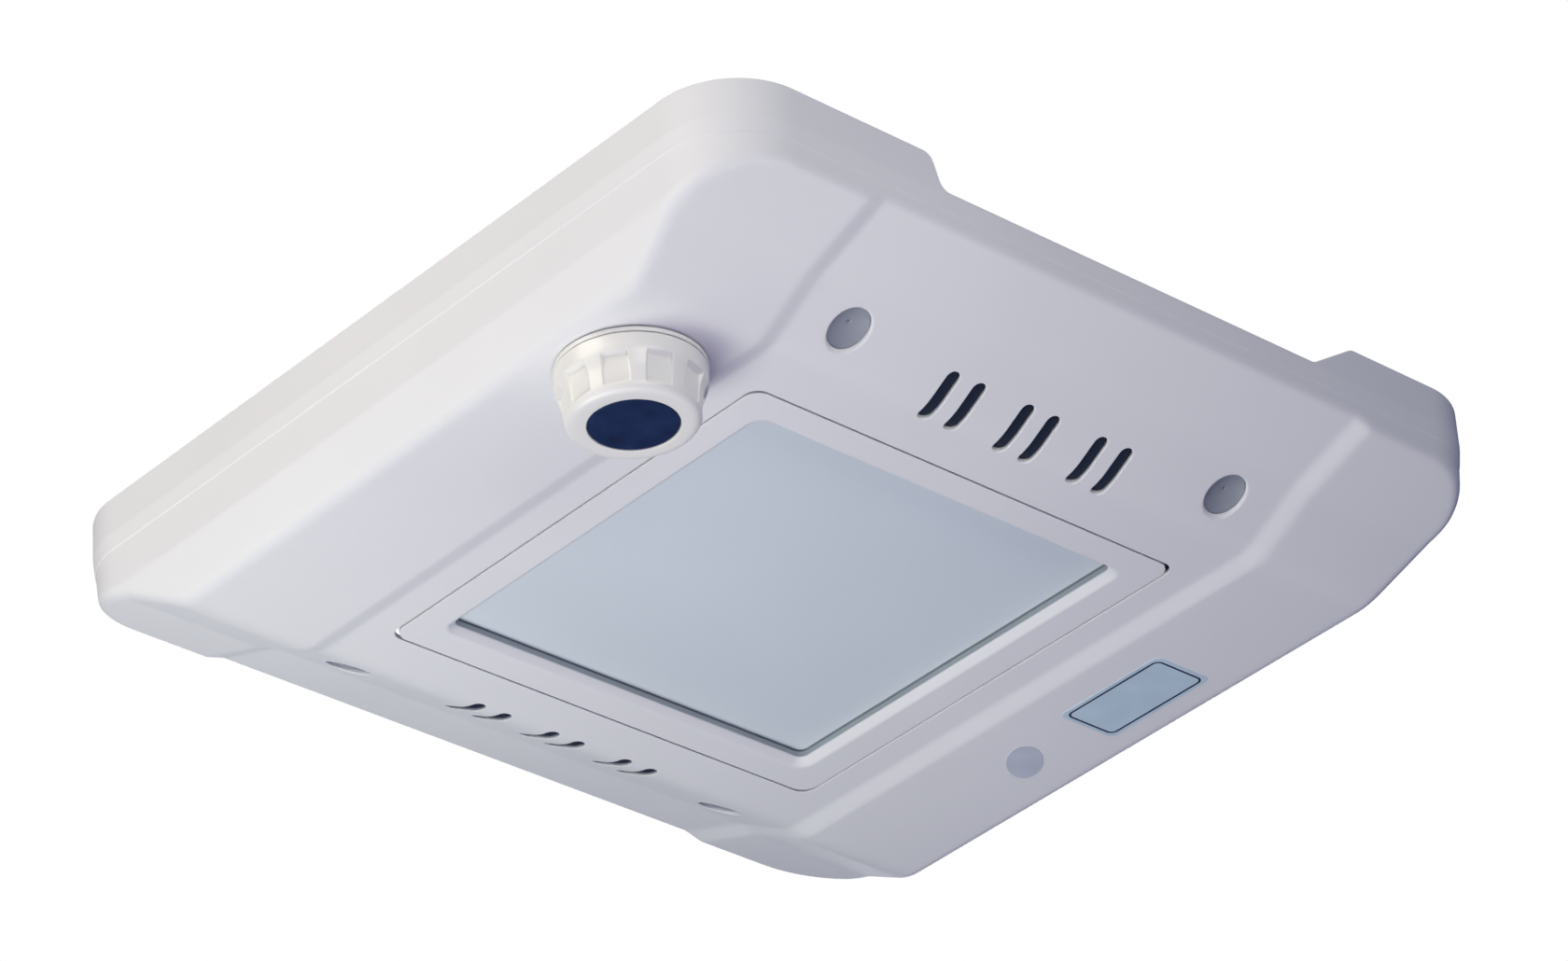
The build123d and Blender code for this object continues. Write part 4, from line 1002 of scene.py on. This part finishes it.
# Window: its radius, its flange's radius and how deep the flange lies behind the cap's face
PANE_RADIUS = 0.0221
FLANGE_RADIUS = 0.0246
FLANGE_DEPTH = 0.0035
# Collar: its radius, its socket's radius and the ring groove in its face
COLLAR_RADIUS = 0.0375
SOCKET_RADIUS = 0.0170
GROOVE = (0.0097, 0.0123)
GROOVE_DEPTH = 0.0054
WIRE_HOLE = 0.0026


class CANOPY_OT_sensor(bpy.types.Operator):
    """Make the sensor's collar, its gripped cap and its dark window"""

    bl_idname = "canopy.sensor"
    bl_label = "Sensor"

    def execute(self, context):
        c = context.scene.canopy_sensor
        low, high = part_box("sensor_cap")
        top, bottom = high.z, low.z
        flange = bottom + FLANGE_DEPTH
        rows = rounded([
            (CAP_WINDOW, flange), (CAP_WINDOW, bottom), (CAP_FACE, bottom),
            (c.waist_radius, top - c.waist), (CAP_SHOULDER, top - 0.009), (CAP_RADIUS, top - 0.0001),
            (CAP_INNER, top), (CAP_INNER, top - 0.008), (CAP_BORE, top - 0.008), (0.028, flange),
        ], [0, 0.0009, 0.0052, 0.003, 0.003, 0.0007, 0.0004, 0, 0.0004, 0], 7)
        dense = []
        for row, after in zip(rows, np.roll(rows, -1, 0)):
            dense.append(row)
            n = int(np.linalg.norm(after - row) / 0.0006)
            if row[0] > 0.031 and after[0] > 0.031 and n > 1:
                dense += [row + (after - row) * f / n for f in range(1, n)]

        def grips(angle, radius, z):
            turn = 2 * np.pi / c.grips
            near = (angle + turn / 2) % turn - turn / 2
            channel = c.waist_radius - c.grip_depth - c.taper * (top - z - c.waist)
            off = np.maximum(radius - channel / np.cos(near), 0)
            across = smooth_window(radius * np.sin(near), c.grip_width / 2, 0.0007)
            middle = top - (c.grip_start + c.grip_end) / 2
            along = smooth_window(z - middle, (c.grip_end - c.grip_start) / 2, 0.0008)
            return np.where(radius > 0.0308, off * across * along, 0.0)

        cap = turned_solid("sensor_shroud", dense, 640, closed=True, grips=grips)
        stand_for(cap, "sensor_head", "plastic", "sensor_cap")

        low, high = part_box("sensor_base")
        under = -shell_sizes().height - 0.0008
        floor = under + GROOVE_DEPTH
        rows = rounded([
            (0.0, low.z), (GROOVE[0], low.z), (GROOVE[0], floor), (GROOVE[1], floor),
            (GROOVE[1], low.z), (COLLAR_RADIUS, low.z), (COLLAR_RADIUS, under),
            (SOCKET_RADIUS, under), (SOCKET_RADIUS, high.z), (WIRE_HOLE, high.z),
            (WIRE_HOLE, high.z - 0.0058), (0.0, high.z - 0.0058),
        ], [0, 0.0003, 0, 0, 0.0003, 0.0006, 0.0003, 0.0002, 0.0006, 0.0004, 0, 0], 4, closed=False)
        rows = np.insert(rows, np.argmax(rows[:, 0] > 0.03), [(0.024, low.z), (0.033, low.z)], 0)
        collar = turned_solid("sensor_collar", rows, 256)
        stand_for(collar, "housing", "plastic", "sensor_base")

        face, back = bottom + 0.0005, flange + 0.0015
        rows = rounded([
            (0, face), (PANE_RADIUS, face), (PANE_RADIUS, flange), (FLANGE_RADIUS, flange),
            (FLANGE_RADIUS, back), (0, back),
        ], [0, 0.0005, 0.0002, 0.0003, 0.0003, 0], 4, closed=False)
        rows = np.insert(rows, 1, [(0.010, face), (0.019, face)], 0)
        window = turned_solid("sensor_lens_disc", rows, 128)
        stand_for(window, "sensor_head", "window", "sensor_window")
        return {"FINISHED"}


# Labels


LABEL_CENTRE = (0.2093, -0.040)
LABEL_HALF = (0.01925, 0.03675)
LABEL_CORNER = 0.004
FILM = 0.0003
BORDER_INSET = 0.0022
BORDER_WIDTH = 0.0013
BORDER_CORNER = 0.0065
BORDER_LEVELS = (0.00028, 0.00031)
OVAL_HALF = (0.017, 0.0098)
OVAL_TURN = math.radians(46)


class CANOPY_OT_labels(bpy.types.Operator):
    """Make the two blank labels of the side panel"""

    bl_idname = "canopy.labels"
    bl_label = "Labels"

    def execute(self, context):
        level = -shell_sizes().height

        def add_film(name, p, slot, finish, node, **closing):
            p[..., 2] = level - p[..., 2]
            stand_for(put_mesh(name, [skin(p, **closing)], False), "housing", finish, node)

        share = np.array([0.0, 0.5, 1.0, 1.0, 0.5, 0.0])
        raised = np.array([0, 0, 0, 1, 1, 1]) * FILM
        columns = square_columns(10, 24)
        film = ring_points(columns, LABEL_HALF[0] * share, LABEL_HALF[1] * share,
                           LABEL_CORNER * share, raised)
        film[..., :2] += LABEL_CENTRE
        add_film("label_film_plate", film, "silver_label", "label", "rating_label")

        off = BORDER_INSET + BORDER_WIDTH * np.array([0, 0, 1, 1])
        border = ring_points(columns, LABEL_HALF[0] - off, LABEL_HALF[1] - off, BORDER_CORNER - off,
                             np.array(BORDER_LEVELS)[[0, 1, 1, 0]])
        border[..., :2] += LABEL_CENTRE
        add_film("label_border_line", border, "silver_label", "ink", "rating_label", ring=True)

        low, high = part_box("round_sticker")
        share = np.array([0, 0.6, 1.0, 1.0, 0.6, 0])
        oval = turned_points(share, raised, 96)
        u, v = oval[..., 0] * OVAL_HALF[0], oval[..., 1] * OVAL_HALF[1]
        oval[..., 0] = (low.x + high.x) / 2 + u * math.cos(OVAL_TURN) - v * math.sin(OVAL_TURN)
        oval[..., 1] = (low.y + high.y) / 2 + u * math.sin(OVAL_TURN) + v * math.cos(OVAL_TURN)
        add_film("oval_sticker", oval, "pale_label", "sticker", "round_sticker")
        return {"FINISHED"}


# Finishes of the pieces that keep their own shape

KEPT = {
    "vents": ["vent_screens"],
    "zinc": ["housing_screws", "plate_standoffs", "hinge_arms", "hinge_arm_screws", "hinge_pins",
             "hinge_brackets", "hinge_bracket_screws", "heat_sink_screws", "catch_screws",
             "strike_plates", "driver_screws", "terminal_screws", "surge_screws"],
    "galvanised": ["mounting_plate"],
    "spring": ["lens_clips"],
    "cast": ["heat_sink"],
    "extruded": ["driver_case"],
    "seal": ["door_seal", "sensor_seal"],
    "rubber": ["entry_grommet"],
    "thermal": ["thermal_pad"],
    "solder_white": ["led_board"],
    "solder_green": ["sensor_board"],
    "phosphor": ["leds"],
    "reflector": ["reflector_frame"],
    "moulding": ["catch_holders", "sensor_nut", "sensor_back_plate", "surge_protector"],
    "nickel": ["catch_magnets"],
    "can": ["sensor_element"],
    "brass": ["contact_blades", "terminal_clamps"],
    "terminal": ["terminal_block"],
    "sheath": ["sensor_lead", "supply_lead", "led_lead", "surge_lead"],
}


class CANOPY_OT_inner_finishes(bpy.types.Operator):
    """Give the pieces that keep their own shape their finishes"""

    bl_idname = "canopy.inner_finishes"
    bl_label = "Inner finishes"

    def execute(self, context):
        for name, nodes in KEPT.items():
            for node in nodes:
                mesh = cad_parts[node].data
                mesh.materials.clear()
                mesh.materials.append(finish_of(name))
        return {"FINISHED"}


# Stage

CAMERA_PLACE = (-1.93007, -2.03730, -1.77357)
CAMERA_RIGHT = (0.74902959, -0.65977347, -0.06044537)
CAMERA_DOWN = (0.31488045, 0.43477386, -0.84369544)
CAMERA_FORWARD = (0.58292793, 0.61291978, 0.53340825)
CAMERA_SENSOR = 36.0
CAMERA_LENS = 149.02
CAMERA_REACH = 60.0
WORLD_COLOUR = (0.30, 0.364, 1.0)
WORLD_STRENGTH = 0.165


LAMP_AIM = (0, 0, -0.05)
# Name, place, size, power and colour of every lamp
LAMPS = (
    ("side_light", (-1.3, 0.1, 0.5), 0.8, 10.99, (1.0, 0.938, 0.783)),
    ("end_light", (-0.55, -1.2, -0.2), 0.6, 6.77, (1.0, 0.992, 0.893)),
    ("low_light", (-0.5, 0.35, -1.0), 0.6, 7.86, (0.969, 1.0, 0.865)),
    ("back_light", (1.2, 0.9, 0.6), 0.8, 12.0, (1.0, 1.0, 1.0)),
    ("fill_light", (-0.35, -0.2, -0.95), 0.5, 1.59, (0.858, 0.742, 1.0)),
)


def add_lamp(name, place, size, power, colour):
    """Square soft light at a place, turned to the light's middle."""
    data = bpy.data.lights.new(name, "AREA")
    data.shape = "SQUARE"
    data.size = size
    data.energy = power
    data.color = colour
    lamp = bpy.data.objects.new(name, data)
    lamp.location = place
    lamp.rotation_mode = "QUATERNION"
    lamp.rotation_quaternion = (Vector(LAMP_AIM) - Vector(place)).to_track_quat("-Z", "Y")
    lamp.visible_camera = False
    bpy.context.scene.collection.objects.link(lamp)


def split_by_camera(tree, other, seen, output):
    """Shows one shader to the camera, and lets every other ray meet the other one."""
    path = tree.nodes.new("ShaderNodeLightPath")
    mix = tree.nodes.new("ShaderNodeMixShader")
    link(tree, path, "Is Camera Ray", mix, "Fac")
    link(tree, other, 0, mix, 1)
    link(tree, seen, 0, mix, 2)
    link(tree, mix, 0, output, "Surface")


FLOOR_COLOUR = (0.86, 0.86, 0.86)
FLOOR_HALF = 14
FLOOR_LEVEL = -6.8


def bright_floor():
    """Pale floor paint that a camera sees fully lit, while it throws no light back up."""
    paint = grained("floor_paint", FLOOR_COLOUR, (0.6, 0.7), 1.0, 0.01, 40.0, 0.02)
    tree = paint.node_tree
    output = next(n for n in tree.nodes if n.bl_idname == "ShaderNodeOutputMaterial")
    glow = tree.nodes.new("ShaderNodeEmission")
    glow.inputs["Color"].default_value = (*FLOOR_COLOUR, 1)
    split_by_camera(tree, tree.nodes["Principled BSDF"], glow, output)
    return paint


class CANOPY_OT_stage(bpy.types.Operator):
    """Set up the camera, the soft lights, the pale floor and the white surroundings"""

    bl_idname = "canopy.stage"
    bl_label = "Stage"

    def execute(self, context):
        scene = context.scene
        data = bpy.data.cameras.new("canopy_camera")
        data.sensor_width, data.lens, data.clip_end = CAMERA_SENSOR, CAMERA_LENS, CAMERA_REACH
        camera = bpy.data.objects.new("canopy_camera", data)
        right, down, ahead = map(Vector, (CAMERA_RIGHT, CAMERA_DOWN, CAMERA_FORWARD))
        turn = Matrix((right, -down, -ahead)).transposed().to_4x4()
        camera.matrix_world = Matrix.Translation(CAMERA_PLACE) @ turn
        scene.collection.objects.link(camera)
        scene.camera = camera

        scene.view_settings.view_transform = "Standard"
        scene.view_settings.look = "None"

        world = bpy.data.worlds.new("canopy_surroundings")
        world.use_nodes = True
        tree = world.node_tree
        tree.nodes.clear()
        out = tree.nodes.new("ShaderNodeOutputWorld")
        seen = tree.nodes.new("ShaderNodeBackground")
        seen.inputs["Strength"].default_value = 1.0
        seen.inputs["Color"].default_value = (1, 1, 1, 1)
        lit = tree.nodes.new("ShaderNodeBackground")
        lit.inputs["Color"].default_value = (*WORLD_COLOUR, 1)
        lit.inputs["Strength"].default_value = WORLD_STRENGTH
        split_by_camera(tree, lit, seen, out)
        scene.world = world

        for lamp in LAMPS:
            add_lamp(*lamp)

        a, z = FLOOR_HALF, FLOOR_LEVEL
        corners = np.array([(-a, -a, z), (a, -a, z), (a, a, z), (-a, a, z)])
        floor = put_mesh("pale_floor", [(corners, [(0, 1, 2, 3)])], False)
        floor.data.materials.append(bright_floor())
        return {"FINISHED"}


class CANOPY_PT_panel(bpy.types.Panel):
    """Sidebar panel with the sizes, the colours and the steps"""

    bl_idname = "CANOPY_PT_panel"
    bl_label = "Canopy light"
    bl_space_type = "VIEW_3D"
    bl_region_type = "UI"
    bl_category = "Canopy light"

    def draw(self, context):
        for name, (title, kind) in SETTINGS.items():
            box = self.layout.box()
            box.label(text=title)
            for setting in kind.__annotations__:
                box.prop(getattr(context.scene, name), setting)
        for step in STEPS:
            self.layout.operator(step.bl_idname)


STEPS = (CANOPY_OT_stage, CANOPY_OT_shell, CANOPY_OT_door, CANOPY_OT_plugs, CANOPY_OT_sensor,
         CANOPY_OT_labels, CANOPY_OT_inner_finishes)
SETTINGS = {
    "canopy_shell": ("Shell", CanopyShellSizes),
    "canopy_door": ("Lens door", CanopyDoorSizes),
    "canopy_sensor": ("Sensor", CanopySensorSizes),
    "canopy_colours": ("Colours", CanopyColours),
}
CLASSES = tuple(kind for _, kind in SETTINGS.values()) + STEPS + (CANOPY_PT_panel,)


def register():
    """Registers the settings, the steps and the panel."""
    for cls in CLASSES:
        bpy.utils.register_class(cls)
    for name, (_, kind) in SETTINGS.items():
        setattr(bpy.types.Scene, name, PointerProperty(type=kind))


def unregister():
    """Takes everything that register added away again."""
    for name in SETTINGS:
        delattr(bpy.types.Scene, name)
    for cls in reversed(CLASSES):
        bpy.utils.unregister_class(cls)


def main():
    """Registers the add-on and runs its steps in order."""
    register()
    for step in STEPS:
        getattr(bpy.ops.canopy, step.bl_idname.removeprefix("canopy."))()


if __name__ == "__main__":
    main()
